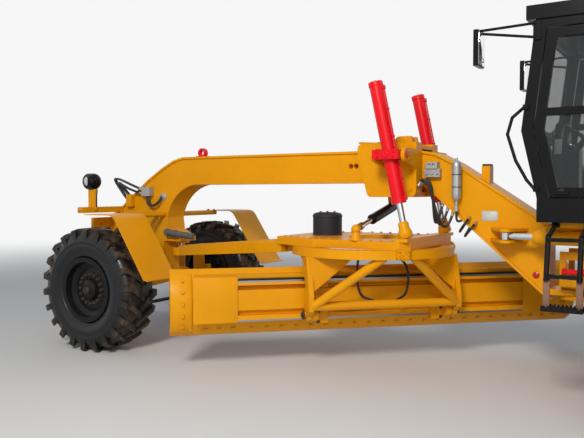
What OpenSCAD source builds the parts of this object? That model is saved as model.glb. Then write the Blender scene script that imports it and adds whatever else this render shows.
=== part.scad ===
// Articulated motor grader with a long gooseneck frame, a turning blade under it
// and a tandem-driven rear frame with the cab. X is forward, Y is left, Z is up.
// The origin is on the ground, under the middle of the machine.

/* [Machine] */
// Overall length from the nose plate to the rear bumper
overall_l = 8960; // [8700:20:9300]
// Nose plate to front axle centre
front_overhang = 800; // [780:10:860]
// Front axle to tandem pivot
wheelbase = 6500; // [6450:10:6600]
// Distance between the two wheels of a tandem
tandem_spread = 1540; // [1500:10:1580]
// Middle of the left tyres to the middle of the right tyres
track_w = 2090; // [2070:5:2130]

/* [Wheels] */
// Tyre radius over the lugs
tyre_r = 675; // [660:1:685]
// Tyre width
tyre_w = 445; // [420:1:450]
// Depth of the tread lugs
lug_h = 32; // [20:1:36]
// Number of lugs round a tyre
lug_count = 22; // [18:1:24]
// Radius of the bead seat
rim_r = 318; // [310:1:325]
// Height of the rim flange over the bead seat
flange_h = 34; // [25:1:38]
// Wall thickness of the rim
rim_t = 14; // [10:1:18]
// Radius of the hub face that carries the wheel studs
hub_r = 205; // [190:1:215]
// How far the hub face stands out from the tyre's middle
hub_out = 95; // [80:1:100]

/* [Frame] */
// Height of the top of the long beam
beam_top = 2150; // [2120:5:2180]
// Depth of the long beam
beam_h = 320; // [300:5:330]
// Width over the beam's edge plates
beam_w = 300; // [280:5:310]
// How far the edge plates stand out past the side plates
beam_lip = 18; // [10:1:22]
// Thickness of the edge plates
edge_t = 24; // [18:1:28]
// Height of the articulation's upper hinge
hinge_top = 1400; // [1380:5:1420]
// Height of the articulation's lower hinge
hinge_low = 840; // [820:5:860]
// Front axle to the articulation pin
pivot_back = 4760; // [4740:5:4780]
// Radius of the articulation pins
hinge_pin_r = 40; // [30:1:45]
// Thickness of the hinge lugs
lug_t = 50; // [40:1:55]

/* [Front axle] */
// Half distance between the two kingpins
kingpin_y = 860; // [850:5:870]
// Half distance between the two lean pivots
lean_y = 700; // [690:5:705]
// Height of the lean pivots over the wheel centre
lean_up = -60; // [-70:5:-50]
// Radius of the lean pivots
lean_pin_r = 32; // [26:1:34]
// Length of the steering arms
steer_arm = 240; // [230:5:250]
// Width of a front fender
fender_w = 480; // [440:5:500]
// Thickness of the fender sheet
fender_t = 8; // [6:1:10]
// Height of the fender's flat top
fender_top = 1500; // [1480:5:1540]

/* [Drawbar and circle] */
// Front axle to the drawbar's ball
ball_back = 300; // [290:5:310]
// Height of the drawbar's ball
ball_z = 1040; // [1030:5:1050]
// Radius of the drawbar's ball
ball_r = 75; // [65:1:80]
// Front axle to the circle's centre
circle_back = 2840; // [2820:5:2860]
// Outer radius of the circle
circle_r = 820; // [800:5:840]
// Width of the circle's ring
ring_w = 130; // [110:5:140]
// Thickness of the circle's ring
ring_t = 85; // [70:1:90]
// Height of the underside of the circle's ring
ring_z = 1120; // [1110:5:1130]
// Number of teeth inside the ring
ring_teeth = 60; // [48:1:64]
// Angle of the blade, seen from above, from square across the machine
blade_angle = -46; // [-50:1:-42]

/* [Blade] */
// Length of the moldboard
blade_l = 4270; // [4000:10:4300]
// Height of the moldboard
blade_h = 610; // [580:5:620]
// Depth of the moldboard's curve
blade_sag = 150; // [130:5:160]
// Thickness of the moldboard plate
blade_t = 22; // [18:1:26]
// Height of the cutting edge over the ground
blade_z = 370; // [350:5:400]
// Length of the two rails behind the moldboard
rail_l = 3560; // [3400:10:3600]
// Height of a rail
rail_h = 62; // [50:1:66]
// Depth of a rail
rail_d = 60; // [50:1:64]
// Half distance between the two circle legs
leg_y = 750; // [735:5:760]
// Thickness of a circle leg
leg_t = 50; // [40:1:56]
// Radius of the pitch pins
pitch_r = 30; // [24:1:34]

/* [Cylinders] */
// Radius of a lift cylinder
lift_r = 63; // [58:1:66]
// Radius of a lift rod
lift_rod_r = 30; // [26:1:34]
// Length of a lift cylinder over its trunnion
lift_over = 690; // [670:5:700]
// Length of a lift cylinder under its trunnion
lift_under = 455; // [440:5:465]
// Front axle to the lift trunnions
trunnion_back = 3260; // [3250:5:3270]
// Height of the lift trunnions
trunnion_z = 2080; // [2070:5:2090]
// Half distance between the two lift cylinders
lift_y = 535; // [530:5:540]
// Front axle to the lift balls on the drawbar
stud_back = 3420; // [3410:5:3430]
// Height of the lift balls
stud_z = 1350; // [1345:1:1360]
// Radius of the lift balls
stud_r = 45; // [40:1:48]
// Radius of an articulation cylinder
artic_r = 62; // [55:1:66]
// Radius of an articulation rod
artic_rod_r = 28; // [24:1:32]

/* [Cab] */
// Width of the cab
cab_w = 1560; // [1540:10:1600]
// Height of the cab floor over the ground
cab_floor = 1500; // [1490:5:1520]
// Height of the cab's roof over the ground
cab_top = 3200; // [3180:5:3240]
// Thickness of the roof
roof_t = 110; // [90:5:130]
// Thickness of the cab's walls and doors
wall_t = 45; // [40:1:50]
// Thickness of the glass
glass_t = 6; // [5:1:8]
// Gap round a closed door
door_gap = 8; // [6:1:10]
// Width of the door's frame round its glass
door_bar = 75; // [60:5:85]

/* [Hood] */
// Width of the engine hood
hood_w = 1080; // [1040:10:1120]
// Height of the hood's top at the cab
hood_top = 2330; // [2280:10:2360]
// Height of the hood's top at the rear
hood_rear = 2160; // [2120:10:2200]
// Thickness of the hood's walls
hood_t = 30; // [24:1:36]

/* [Hidden] */

yellow = [0.95, 0.62, 0.05];
black = [0.06, 0.06, 0.07];
red = [0.85, 0.08, 0.08];
chrome = [0.8, 0.82, 0.85];
dark = [0.12, 0.12, 0.13];

// Places along the machine
axle_x = overall_l / 2 - front_overhang;
nose_x = overall_l / 2;
tail_x = -overall_l / 2;
tandem_x = axle_x - wheelbase;
// The tyres stand on the flats of their lugs
wheel_z = tyre_r * cos(72 / lug_count);
side_y = track_w / 2;
pivot_x = axle_x - pivot_back;
circle_x = axle_x - circle_back;
ball_x = axle_x - ball_back;
trunnion_x = axle_x - trunnion_back;
stud_x = axle_x - stud_back;
beam_low = beam_top - beam_h;
web_w = beam_w - 2 * beam_lip;
// Fit of pieces that touch, running gap of a pin and free gap of moving pieces
seat_gap = 0.3;
pin_gap = 0.05;
free_gap = 6;

function unit(v) = v / norm(v);
function side_of(a, b) = let (d = unit(b - a)) [-d[1], d[0]];
function arc(c, r, a0, a1, n) = [for (i = [0:n]) c + r * [cos(a0 + (a1 - a0) * i / n), sin(a0 + (a1 - a0) * i / n)]];
function flip(p) = [for (i = [len(p) - 1:-1:0]) p[i]];
// A line of points moved sideways by t, with mitred corners
function beside(p, t) = [for (i = [0:len(p) - 1])
    let (a = side_of(p[max(i - 1, 0)], p[max(i, 1)]),
         b = side_of(p[min(i, len(p) - 2)], p[min(i + 1, len(p) - 1)]),
         m = unit(a + b))
    p[i] + m * t / (m * a)];

// A plate cut to an outline in X and Z, from y0 to y0 + t
module side_plate(pts, y0, t) {
    translate([0, y0 + t, 0]) rotate([90, 0, 0]) linear_extrude(t) polygon(pts);
}

// A strip of plate bent along a line in X and Z, centred on Y
module edge_strip(pts, t, w) {
    side_plate(concat(pts, flip(beside(pts, t))), -w / 2, w);
}

// A round bar between two points
module bar(a, b, r) {
    d = b - a;
    translate(a) rotate([0, acos(d[2] / norm(d)), atan2(d[1], d[0])]) cylinder(h = norm(d), r = r);
}

module left_and_right() {
    children();
    mirror([0, 1, 0]) children();
}

// Wheels

spindle_r = 45;
// Spindle socket behind the tyre's middle
hub_in = 50;
bead_share = 0.8;
bead_r = (rim_r + seat_gap) / cos(72 / lug_count);
wall_r = 500;
groove_r = tyre_r - lug_h;
lug_pitch = 360 / lug_count;
lug_phase = 270 - lug_pitch * (floor(0.75 * lug_count) + 0.5);
// Rings of a tyre: share of the half width, groove radius, lug radius, turn of the lugs
tyre_rings = [
    [bead_share, bead_r, bead_r, 0],
    [1, wall_r, wall_r, 0],
    [0.93, groove_r, tyre_r, 0],
    [0, groove_r, tyre_r, lug_pitch],
    [-0.93, groove_r, tyre_r, 0],
    [-1, wall_r, wall_r, 0],
    [-bead_share, bead_r, bead_r, 0]];

// A tyre on the Y axis, three points to a lug
module tyre() {
    steps = [0, 0.3, 0.7];
    n = lug_count * 3;
    rings = len(tyre_rings);
    pts = [for (ring = tyre_rings, i = [0:n - 1])
        let (turn = lug_pitch * (floor(i / 3) + steps[i % 3]) + ring[3] + lug_phase,
             r = i % 3 == 0 ? ring[1] : ring[2])
        [r * cos(turn), ring[0] * tyre_w / 2, r * sin(turn)]];
    faces = [for (k = [0:rings - 1], i = [0:n - 1], half = [0, 1])
        let (a = k * n + i, b = k * n + (i + 1) % n,
             c = ((k + 1) % rings) * n + i, d = ((k + 1) % rings) * n + (i + 1) % n)
        half == 0 ? [a, d, b] : [a, c, d]];
    color(dark) polyhedron(pts, faces);
}

// A deep rim with its hub, open to +Y; the hub's blind bore runs on a spindle
module rim() {
    half = tyre_w / 2 * bead_share + 12;
    flange = half + 14;
    top = rim_r + flange_h;
    inner = rim_r - rim_t;
    color(black) rotate([-90, 0, 0]) rotate_extrude() polygon([
        [spindle_r + pin_gap, hub_out - 34], [115, hub_out - 34], [115, hub_out - 12], [hub_r, hub_out - 12],
        [inner - 24, hub_out - 40], [inner, -half + 20], [inner, -flange],
        [top, -flange], [top, -half], [rim_r, -half], [rim_r, half], [top, half], [top, flange],
        [inner, flange], [inner - 6, hub_out + 30], [hub_r + 40, hub_out + 4], [hub_r, hub_out + 12],
        [122, hub_out + 12], [104, hub_out + 60], [62, hub_out + 82], [0, hub_out + 82], [0, hub_out + 60],
        [spindle_r + pin_gap, hub_out + 60]]);
}

module wheel_place(x, side) {
    translate([x, side * side_y, wheel_z]) mirror([0, side > 0 ? 0 : 1, 0]) children();
}

// A spindle out to a hub, from the height y inside the wheel's middle
module spindle(from) {
    rotate([-90, 0, 0]) translate([0, 0, -from]) cylinder(h = from + hub_out + 56, r = spindle_r);
}

// Front frame: a long box beam, a nose over the axle and a slope down to the articulation

frame_tail = axle_x - 4600;
spine_top = [[axle_x + 700, 1440], [axle_x + 100, 1890], [axle_x - 130, 2028], [axle_x - 300, 2112],
    [axle_x - 450, beam_top], [axle_x - 3340, beam_top], [axle_x - 3560, 2108], [axle_x - 3760, 2008],
    [frame_tail, 1460]];
spine_low = concat([[axle_x + 700, 1010], [axle_x - 150, 1010], [axle_x - 150, 1150], [axle_x - 400, 1150],
    [axle_x - 400, 1200], [axle_x - 230, 1290]], arc([axle_x - 700, beam_low - 500], 500, 12, 82, 8),
    [[axle_x - 3330, beam_low], [axle_x - 3440, beam_low - 30], [axle_x - 3520, beam_low - 92],
    [frame_tail, hinge_low - 50]]);
nose_z = 1190;
bolt_r = 16.5;
axle_pin_z = 800;
axle_pin_r = 50;

module hinge_lug(z) {
    difference() {
        translate([0, 0, z]) linear_extrude(lug_t) polygon(concat(
            [[frame_tail + 60, -150], [frame_tail + 60, 150]],
            arc([pivot_x, 0], 110, 90, 270, 12)));
        translate([pivot_x, 0, z - 1]) cylinder(h = lug_t + 2, r = hinge_pin_r + pin_gap);
    }
}

artic_eye_x = axle_x - 4270;
artic_eye_y = 330;
artic_z = 1355;
ear_t = 26;
ear_gap = 36;

// Two ears that stand out to the left of the frame, one over and one under a cylinder's eye
module artic_ears() {
    for (z = [artic_z + ear_gap, artic_z - ear_gap - ear_t])
        translate([0, 0, z]) linear_extrude(ear_t) polygon(concat(
            [[artic_eye_x - 150, web_w / 2 - 2], [artic_eye_x + 190, web_w / 2 - 2]],
            arc([artic_eye_x, artic_eye_y], 58, 20, 170, 8)));
}

// Height of the beam's lower face on its slope, and of its upper face over the nose
function low_at(x) = hinge_low - 50 + (beam_low - 42 - hinge_low) * (x - frame_tail) / (axle_x - 3520 - frame_tail);
function nose_at(x) = 1440 + (axle_x + 700 - x) * 0.75;

lamp_bar_x = axle_x + 530;
lamp_y = 600;

module front_frame() {
    color(yellow) {
        difference() {
            union() {
                side_plate(concat(spine_top, flip(spine_low)), -web_w / 2, web_w);
                edge_strip(spine_top, edge_t, beam_w);
                edge_strip(flip(spine_low), edge_t, beam_w);
            }
            // Oval hand hole near the saddle
            for (x = [-30, 30]) translate([axle_x - 2690 + x, 200, 2000])
                rotate([90, 0, 0]) cylinder(h = 400, r = 26);
            // Blind bore for the drawbar ball's stem
            translate([ball_x, 0, ball_z + ball_r - 10]) cylinder(h = 110, r = spindle_r + pin_gap);
        }
        hinge_lug(hinge_top);
        hinge_lug(hinge_low);
        left_and_right() artic_ears();
        // Boss round the stem of the drawbar's ball
        difference() {
            translate([ball_x, 0, ball_z + ball_r + 8]) cylinder(h = 60, r = 100);
            translate([ball_x, 0, ball_z]) cylinder(h = 145, r = spindle_r + pin_gap);
        }
        // Ears and pin that carry the front axle
        for (x = [-170, 130]) translate([axle_x + x, -110, 740]) cube([40, 220, 276]);
        translate([axle_x - 185, 0, axle_pin_z]) rotate([0, 90, 0]) cylinder(h = 370, r = axle_pin_r);
        // Nose plate and lamp bar
        difference() {
            translate([nose_x - 50, -420, 960]) cube([50, 840, 460]);
            for (y = [-300, 300], z = [-150, 150]) translate([nose_x - 51, y, nose_z + z])
                rotate([0, 90, 0]) cylinder(h = 52, r = bolt_r);
        }
        translate([axle_x + 690, -120, 1000]) cube([nose_x - 50 - axle_x - 690, 240, 430]);
        translate([lamp_bar_x, -800, 1490]) cube([80, 1600, 70]);
        translate([lamp_bar_x - 30, -web_w / 2, 1440]) cube([140, web_w, 80]);
        left_and_right() {
            translate([lamp_bar_x - 20, lamp_y - 15, 1520]) cube([120, 30, 250]);
            // Lug that clamps the nose's hoses
            translate([axle_x + 330, web_w / 2 - 1, 1560]) cube([90, 70, 150]);
        }
        // Stop post on the slope behind the saddle
        translate([axle_x - 4050, -60, 1780]) cube([75, 120, 200]);
    }
}

// A lifting eye that stands on a flat at height z
module lifting_eye(x, z) {
    difference() {
        union() {
            translate([x, 25, z + 50]) rotate([90, 0, 0]) cylinder(h = 50, r = 56);
            translate([x - 75, -40, z]) cube([150, 80, 14]);
        }
        translate([x, 26, z + 50]) rotate([90, 0, 0]) cylinder(h = 52, r = 30);
        translate([x - 60, -30, z - 60]) cube([120, 60, 60]);
    }
}

module lifting_eyes() {
    color(red) {
        lifting_eye(axle_x - 640, beam_top + seat_gap);
        lifting_eye(trunnion_x + 30, saddle_cap + seat_gap);
    }
}

// Saddle over the beam, with the arms that hold the lift cylinders' yokes

saddle_front = axle_x - 2811;
saddle_back = axle_x - 3424;
saddle_len = saddle_front - saddle_back;
arm_gap = 132;
arm_t = 34;
yoke_pin_r = 28;
shift_pin_r = 20;
saddle_low = 1690;
saddle_cap = beam_top + 36;
clevis_y = 600;
clevis_z = 1390;
shift_from = [axle_x - 2950, -330, 1600];
shift_to = [axle_x - 2950, clevis_y, clevis_z];

module saddle_arm(x) {
    difference() {
        translate([x, 0, 0]) rotate([90, 0, 90]) linear_extrude(arm_t) polygon(concat(
            [[beam_w / 2 + seat_gap, trunnion_z - 150]],
            arc([lift_y, trunnion_z], 62, -90, 90, 10),
            [[beam_w / 2 + seat_gap, trunnion_z + 62]]));
        translate([x - 1, lift_y, trunnion_z]) rotate([0, 90, 0]) cylinder(h = arm_t + 2, r = yoke_pin_r + pin_gap);
    }
}

module saddle() {
    color(yellow) {
        left_and_right() {
            // Leg: a box that narrows downward at its front
            side_plate(concat([[saddle_back, saddle_low + 60]],
                arc([saddle_back + 60, saddle_low + 60], 60, 180, 270, 6),
                arc([saddle_front - 150, saddle_low + 50], 50, 270, 350, 6),
                [[saddle_front, beam_top - 60]], arc([saddle_front - 50, beam_top + 10], 50, 0, 90, 6),
                [[saddle_back, beam_top + 60]]), beam_w / 2 + seat_gap, 140);
            // Arms in front of and behind each lift cylinder
            saddle_arm(trunnion_x + arm_gap);
            saddle_arm(trunnion_x - arm_gap - arm_t);
            translate([trunnion_x - arm_gap - 1, beam_w / 2 + seat_gap, trunnion_z - 150])
                cube([2 * arm_gap + 2, 40, 212]);
            // Plates beside the lifting eye
            translate([0, 0, saddle_cap - 1]) side_plate(concat([[trunnion_x - 50, 0], [trunnion_x + 140, 0]],
                arc([trunnion_x + 90, 50], 50, 0, 90, 5), [[trunnion_x - 30, 100]]), 62, 26);
        }
        // Cap over the beam and the tie under it
        translate([saddle_back, -beam_w / 2 - 20, beam_top + seat_gap])
            cube([saddle_len - 60, beam_w + 40, saddle_cap - beam_top - seat_gap]);
        translate([saddle_back + 60, -beam_w / 2 - 140, saddle_low]) cube([saddle_len - 200, beam_w + 280, 50]);
        translate([shift_from[0] - 90, -400, saddle_low]) cube([180, 400, 50]);
        // Lock pin with its lever on the cap
        translate([saddle_front - 230, -70, saddle_cap - 1]) cube([110, 140, 50]);
        bar([saddle_front - 175, -150, saddle_cap + 30], [saddle_front - 175, 190, saddle_cap + 30], 16);
        bar([saddle_front - 175, 175, saddle_cap + 30], [saddle_front + 40, 175, saddle_cap + 44], 9);
        // Ears and pin of the centre-shift cylinder
        for (x = [-27 - ear_t, 27]) translate([shift_from[0] + x, 0, 0]) rotate([90, 0, 90]) linear_extrude(ear_t)
            polygon(concat([[shift_from[1] + 70, 1691], [shift_from[1] - 55, 1691]],
                arc([shift_from[1], shift_from[2]], 50, 190, 350, 8)));
        translate([shift_from[0] - 27 - ear_t - 6, shift_from[1], shift_from[2]]) rotate([0, 90, 0])
            cylinder(h = 2 * (27 + ear_t + 6), r = shift_pin_r);
    }
}

// Front axle: an arched beam on its pin, with lean pivots at its ends

axle_half = 95;
lean_z = wheel_z + lean_up;

tongue_t = 2 * axle_half - 82;
lean_bar_up = 340;
lean_bar_r = 24;
bar_x = tongue_t / 2 + free_gap + 28;

module front_axle() {
    color(yellow) difference() {
        union() {
            translate([axle_x - axle_half + 5, 0, 0]) rotate([90, 0, 90]) linear_extrude(2 * axle_half - 10)
                polygon(concat([[0, lean_z + 20], [480, lean_z - 12], [lean_y - 90, lean_z + 60], [330, 790]],
                arc([0, axle_pin_z], 95, 20, 160, 10), [[-330, 790], [90 - lean_y, lean_z + 60], [-480, lean_z - 12]]));
            translate([axle_x - 125, 0, axle_pin_z]) rotate([0, 90, 0]) cylinder(h = 250, r = 85);
            // Guides for the lean bar
            left_and_right() translate([axle_x, 400, 700]) cube([bar_x + 45, 24, lean_z + lean_bar_up + 45 - 700]);
            // Forks that hold the lean yokes
            left_and_right() for (x = [-axle_half, axle_half - 40])
                translate([axle_x + x, 0, 0]) rotate([90, 0, 90]) linear_extrude(40) polygon(concat(
                    [[440, lean_z + 70], [440, lean_z - 8]], arc([lean_y, lean_z], 58, -105, 90, 12)));
        }
        translate([axle_x - 130, 0, axle_pin_z]) rotate([0, 90, 0]) cylinder(h = 260, r = axle_pin_r + pin_gap);
        left_and_right() translate([axle_x - 130, lean_y, lean_z]) rotate([0, 90, 0])
            cylinder(h = 260, r = lean_pin_r + pin_gap);
        translate([axle_x + bar_x, 450, lean_z + lean_bar_up]) rotate([90, 0, 0])
            cylinder(h = 900, r = lean_bar_r + pin_gap);
        // Room for the yokes' tongues
        left_and_right() translate([axle_x - axle_half + 40, lean_y - 125, lean_z - 120])
            cube([2 * axle_half - 80, 200, 260]);
    }
}

king_half = 105;

// A lean yoke: its tongue turns on the axle's pin and its boss holds the kingpin
module lean_yoke() {
    color(yellow) difference() {
        union() {
            translate([axle_x - tongue_t / 2, 0, 0]) rotate([90, 0, 90]) linear_extrude(tongue_t) polygon(concat(
                arc([lean_y, lean_z], 56, 180, 290, 8),
                [[kingpin_y, wheel_z - 75], [kingpin_y, wheel_z + 80], [lean_y + 60, wheel_z + 96]],
                arc([lean_y, lean_z + lean_bar_up], 48, 0, 180, 8)));
            translate([axle_x, kingpin_y, wheel_z - king_half]) cylinder(h = 2 * king_half, r = 62);
            translate([axle_x - 125, lean_y, lean_z]) rotate([0, 90, 0]) cylinder(h = 250, r = lean_pin_r);
        }
        translate([axle_x, kingpin_y, wheel_z - 200]) cylinder(h = 400, r = 36 + pin_gap);
        translate([axle_x - 100, lean_y, lean_z + lean_bar_up]) rotate([0, 90, 0]) cylinder(h = 200, r = 22);
    }
}

tie_y = kingpin_y - 120;
arm_z = wheel_z - king_half - 73;

// A steering knuckle: fork round the kingpin, spindle and steering arm
module knuckle() {
    color(black) {
        translate([axle_x, kingpin_y, wheel_z - king_half - 40]) cylinder(h = 2 * king_half + 80, r = 36);
        for (z = [wheel_z + king_half + 3, wheel_z - king_half - 43])
            translate([axle_x, 0, z]) linear_extrude(40) polygon(concat(
                arc([0, kingpin_y], 60, 180, 360, 12), [[100, side_y - hub_in - 70], [-100, side_y - hub_in - 70]]));
        translate([axle_x - 100, side_y - hub_in - 72, wheel_z - king_half - 43]) cube([200, 30, 2 * king_half + 86]);
        translate([axle_x, side_y, wheel_z]) spindle(hub_in + 50);
        translate([axle_x, side_y - hub_in - 45, wheel_z]) rotate([-90, 0, 0])
            cylinder(h = hub_in + hub_out - 5, r1 = 110, r2 = 75);
        // Steering arm under the fork; the tie rod lies free under its end
        translate([0, 0, arm_z]) linear_extrude(32) polygon(concat(
            arc([axle_x, kingpin_y], 60, -30, 90, 8),
            arc([axle_x - steer_arm, tie_y], 42, 120, 300, 8)));
    }
}

tie_z = arm_z - 2 * free_gap - 24;
tie_end = tie_y - 100;

module tie_rod() {
    color(black) {
        translate([axle_x - steer_arm, tie_end, tie_z]) rotate([90, 0, 0]) cylinder(h = 2 * tie_end, r = 20);
        left_and_right() translate([axle_x - steer_arm, tie_end, tie_z - 24]) cylinder(h = 48, r = 26);
    }
}

// The bar that leans both wheels together, over the axle
module lean_bar() {
    z = lean_z + lean_bar_up;
    color("gray") translate([axle_x + bar_x, 0, 0]) {
        translate([0, lean_y, z]) rotate([90, 0, 0]) cylinder(h = 2 * lean_y, r = lean_bar_r);
        translate([0, 300, z]) rotate([90, 0, 0]) cylinder(h = 600, r = 32);
        left_and_right() translate([-28, lean_y, z]) rotate([0, 90, 0]) cylinder(h = 56, r = 42);
    }
}

// Fenders over the front wheels, on two tubes that cross over the beam's nose

fender_out = side_y + 240;
fender_line = concat([[axle_x - 40, fender_top]],
    arc([axle_x - 400, fender_top - 130], 130, 90, 150, 5), [[axle_x - 900, 850], [axle_x - 950, 838]]);
stay_r = 28;

module front_fenders() {
    color(yellow) left_and_right() {
        translate([0, fender_out - fender_w / 2, 0]) edge_strip(fender_line, fender_t, fender_w);
        for (x = [55, 148])
            translate([axle_x - x, web_w / 2 + seat_gap, fender_top - stay_r - 2]) rotate([-90, 0, 0])
                cylinder(h = 730, r = stay_r);
    }
}

module nose_lamps() {
    color(black) left_and_right() translate([lamp_bar_x + 40, lamp_y, 1771 + 95]) {
        // Domed housing with its lens in front, on a short foot
        rotate([0, 90, 0]) rotate_extrude() polygon(concat([[0, -95]], [for (i = [1:6])
            [96 * sin(15 * i), -95 + 70 * (1 - cos(15 * i))]], [[96, 60], [84, 68], [84, 62], [0, 62]]));
        translate([0, 0, -95 + seat_gap]) cylinder(h = 30, r = 30);
        translate([62 + seat_gap - 1, 0, 0]) rotate([0, 90, 0]) cylinder(h = 5, r = 80);
    }
}

// Hydraulic parts on the beam's left side

accu_x = axle_x - 3784;
accu_y = web_w / 2 + 72;
valve_x = axle_x - 3620;
manifold_x = axle_x + 20;

module frame_valves() {
    color("whitesmoke") {
        // Valve block with an oval port
        difference() {
            union() {
                translate([valve_x, web_w / 2 + seat_gap, 1880]) cube([150, 70, 80]);
                translate([valve_x + 20, web_w / 2 + seat_gap, 1959]) cube([110, 90, 62]);
            }
            for (x = [55, 95]) translate([valve_x + x, 300, 1992]) rotate([90, 0, 0]) cylinder(h = 100, r = 16);
        }
        // Accumulator, domed at both ends, on its bracket
        translate([accu_x, accu_y, 0]) rotate_extrude() polygon([[0, 1560], [20, 1560], [20, 1606], [13, 1610],
            [13, 1650], [24, 1662], [38, 1684], [43, 1710], [43, 1980], [38, 2006], [24, 2026], [12, 2032],
            [12, 2052], [0, 2052]]);
        translate([accu_x - 25, web_w / 2 + seat_gap, 1760]) cube([50, 40, 160]);
        // Manifold on the nose
        translate([manifold_x, web_w / 2 + seat_gap, 1690]) cube([130, 82, 110]);
    }
}

// Hoses: a round tube swept along a line of points, with a ring at each point
module hose(line, r, sides) {
    n = len(line);
    pts = [for (i = [0:n - 1], k = [0:sides - 1])
        let (d = unit(line[min(i + 1, n - 1)] - line[max(i - 1, 0)]),
             s = unit(cross(d, abs(d[0]) > 0.9 ? [0, 0, 1] : [1, 0, 0])), t = cross(d, s))
        line[i] + r * (cos(360 * k / sides) * s + sin(360 * k / sides) * t)];
    walls = [for (i = [0:n - 2], k = [0:sides - 1])
        let (a = i * sides + k, b = i * sides + (k + 1) % sides)
        each [[a, b + sides, b], [a, a + sides, b + sides]]];
    polyhedron(pts, concat(walls, [[for (k = [0:sides - 1]) k]],
        [[for (k = [sides - 1:-1:0]) (n - 1) * sides + k]]));
}

// Points of a smooth curve between ends a and b, pulled out by u and v
function bend(a, u, v, b, n) = [for (i = [0:n]) let (t = i / n)
    a * pow(1 - t, 3) + 3 * (a + u) * t * pow(1 - t, 2) + 3 * (b + v) * t * t * (1 - t) + b * t * t * t];

// Hoses: start, pull there, pull at the end, end, radius
hose_table = concat(
    [for (i = [0:2]) let (x = axle_x - 3620 - 50 * i)
        [[saddle_back - 8.5, 185 + 34 * i, 1800], [-160, 10, 110],
        [190, 70, -260 + 20 * i], [x, 90, low_at(x) - 5 - i / 2], 13]],
    [for (i = [0:1]) let (x = axle_x - 3820 - 44 * i)
        [[x, -10, low_at(x) - 7.4], [110, 60, -210],
        [10, 190, -60], [axle_x - 3890 - 60 * i, web_w / 2 + 5.5, 1500 - 46 * i], 12]],
    [for (row = [0:1], col = [0:1]) let (x = axle_x + 430 + 46 * row)
        [[manifold_x + 134, web_w / 2 + 30 + 30 * col, 1720 + 45 * row], [300 + 60 * row, 40, 20 + 60 * row],
        [220 + 60 * row, 40, 260 + 70 * row], [x, 60 + 32 * col, nose_at(x) + 2.6 - row / 2], 11]]);

module frame_hoses() {
    color(dark) for (h = hose_table) hose(bend(h[0], h[1], h[2], h[3], 12), h[4], 8);
}

// Drawbar: a ball at its front, two beams in an A, and a plate over the circle

bar_top = ring_z + ring_t + seat_gap;
plate_t = 80;
plate_top = bar_top + plate_t;

module drawbar_ball() {
    color(chrome) translate([ball_x, 0, ball_z]) {
        sphere(r = ball_r);
        translate([0, 0, ball_r - 20]) cylinder(h = 110, r = spindle_r);
    }
}

module drawbar() {
    beam_run = [axle_x - 2030 - ball_x + 70, 338, 140];
    color(yellow) {
        difference() {
            union() {
                translate([ball_x, 0, ball_z - 62]) cylinder(h = 92, r = 112);
                // Side beams of the A
                left_and_right() translate([ball_x - 70, 62, ball_z - 60])
                    rotate([0, 0, 180 - atan2(beam_run[1], -beam_run[0])])
                    rotate([0, -atan2(beam_run[2], norm([beam_run[0], beam_run[1]])), 0])
                    translate([0, -50, 0]) cube([norm(beam_run), 100, 120]);
            }
            translate([ball_x, 0, ball_z]) sphere(r = ball_r + seat_gap);
        }
        // Plate over the circle, with the ring's bearing edge
        difference() {
            translate([0, 0, bar_top]) linear_extrude(plate_t) polygon([
                [axle_x - 1980, -460], [axle_x - 1980, 460], [axle_x - 2500, 640], [stud_x + 20, 640],
                [stud_x - 60, 560], [stud_x - 60, -560], [stud_x + 20, -640], [axle_x - 2500, -640]]);
            translate([circle_x - 100, 0, bar_top - 1]) cylinder(h = plate_t + 2, r = 330);
        }
        // Cross beam with the lift balls' posts
        translate([stud_x - 60, -640, plate_top - 1]) cube([120, 1280, 31]);
        left_and_right() {
            translate([stud_x, lift_y, plate_top]) cylinder(h = stud_z - plate_top, r1 = 60, r2 = 24);
            translate([stud_x, lift_y, stud_z]) sphere(r = stud_r);
        }
        // Post and ball for the centre-shift cylinder
        translate([shift_to[0], clevis_y, plate_top - 1]) cylinder(h = clevis_z - plate_top + 1, r1 = 60, r2 = 24);
        translate(shift_to) sphere(r = stud_r);
        // Guide blocks outside the circle's ring
        for (a = [20, -20, 134, -134]) translate([circle_x, 0, ring_z + free_gap]) rotate([0, 0, a])
            translate([circle_r + seat_gap, -60, 0]) {
                cube([50, 120, ring_t + 10]);
                translate([48, 60, 34]) rotate([0, 90, 0]) cylinder(h = 44, r = 44);
            }
        // Circle drive housing
        translate([circle_x + 520, 0, plate_top - 1]) cylinder(h = 150, r = 120);
        translate([circle_x + 520, 0, plate_top + 149]) cylinder(h = 90, r = 70);
    }
}

// Circle: a toothed ring with two legs, a cross tube and braces; x is forward of the blade's line

ring_in = circle_r - ring_w;
ring_top = ring_z + ring_t;
pitch_x = -300;
pitch_z = 560;

module at_circle() {
    translate([circle_x, 0, 0]) rotate([0, 0, blade_angle]) children();
}

module circle_leg() {
    leg_in = leg_y - leg_t / 2;
    difference() {
        translate([0, leg_in + leg_t, 0]) rotate([90, 0, 0]) linear_extrude(leg_t) polygon(concat(
            [[-60, ring_z + 1], [-185, ring_z - 50]],
            arc([-140, pitch_z + 260], 150, 110, 200, 8),
            arc([pitch_x, pitch_z], 65, 330, 190, 8),
            [[pitch_x - 150, pitch_z + 50], [pitch_x - 150, pitch_z + 180], [pitch_x - 40, ring_z + 1]]));
        translate([pitch_x, leg_in - 1, pitch_z]) rotate([-90, 0, 0]) cylinder(h = leg_t + 2, r = pitch_r + pin_gap);
    }
}

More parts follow.
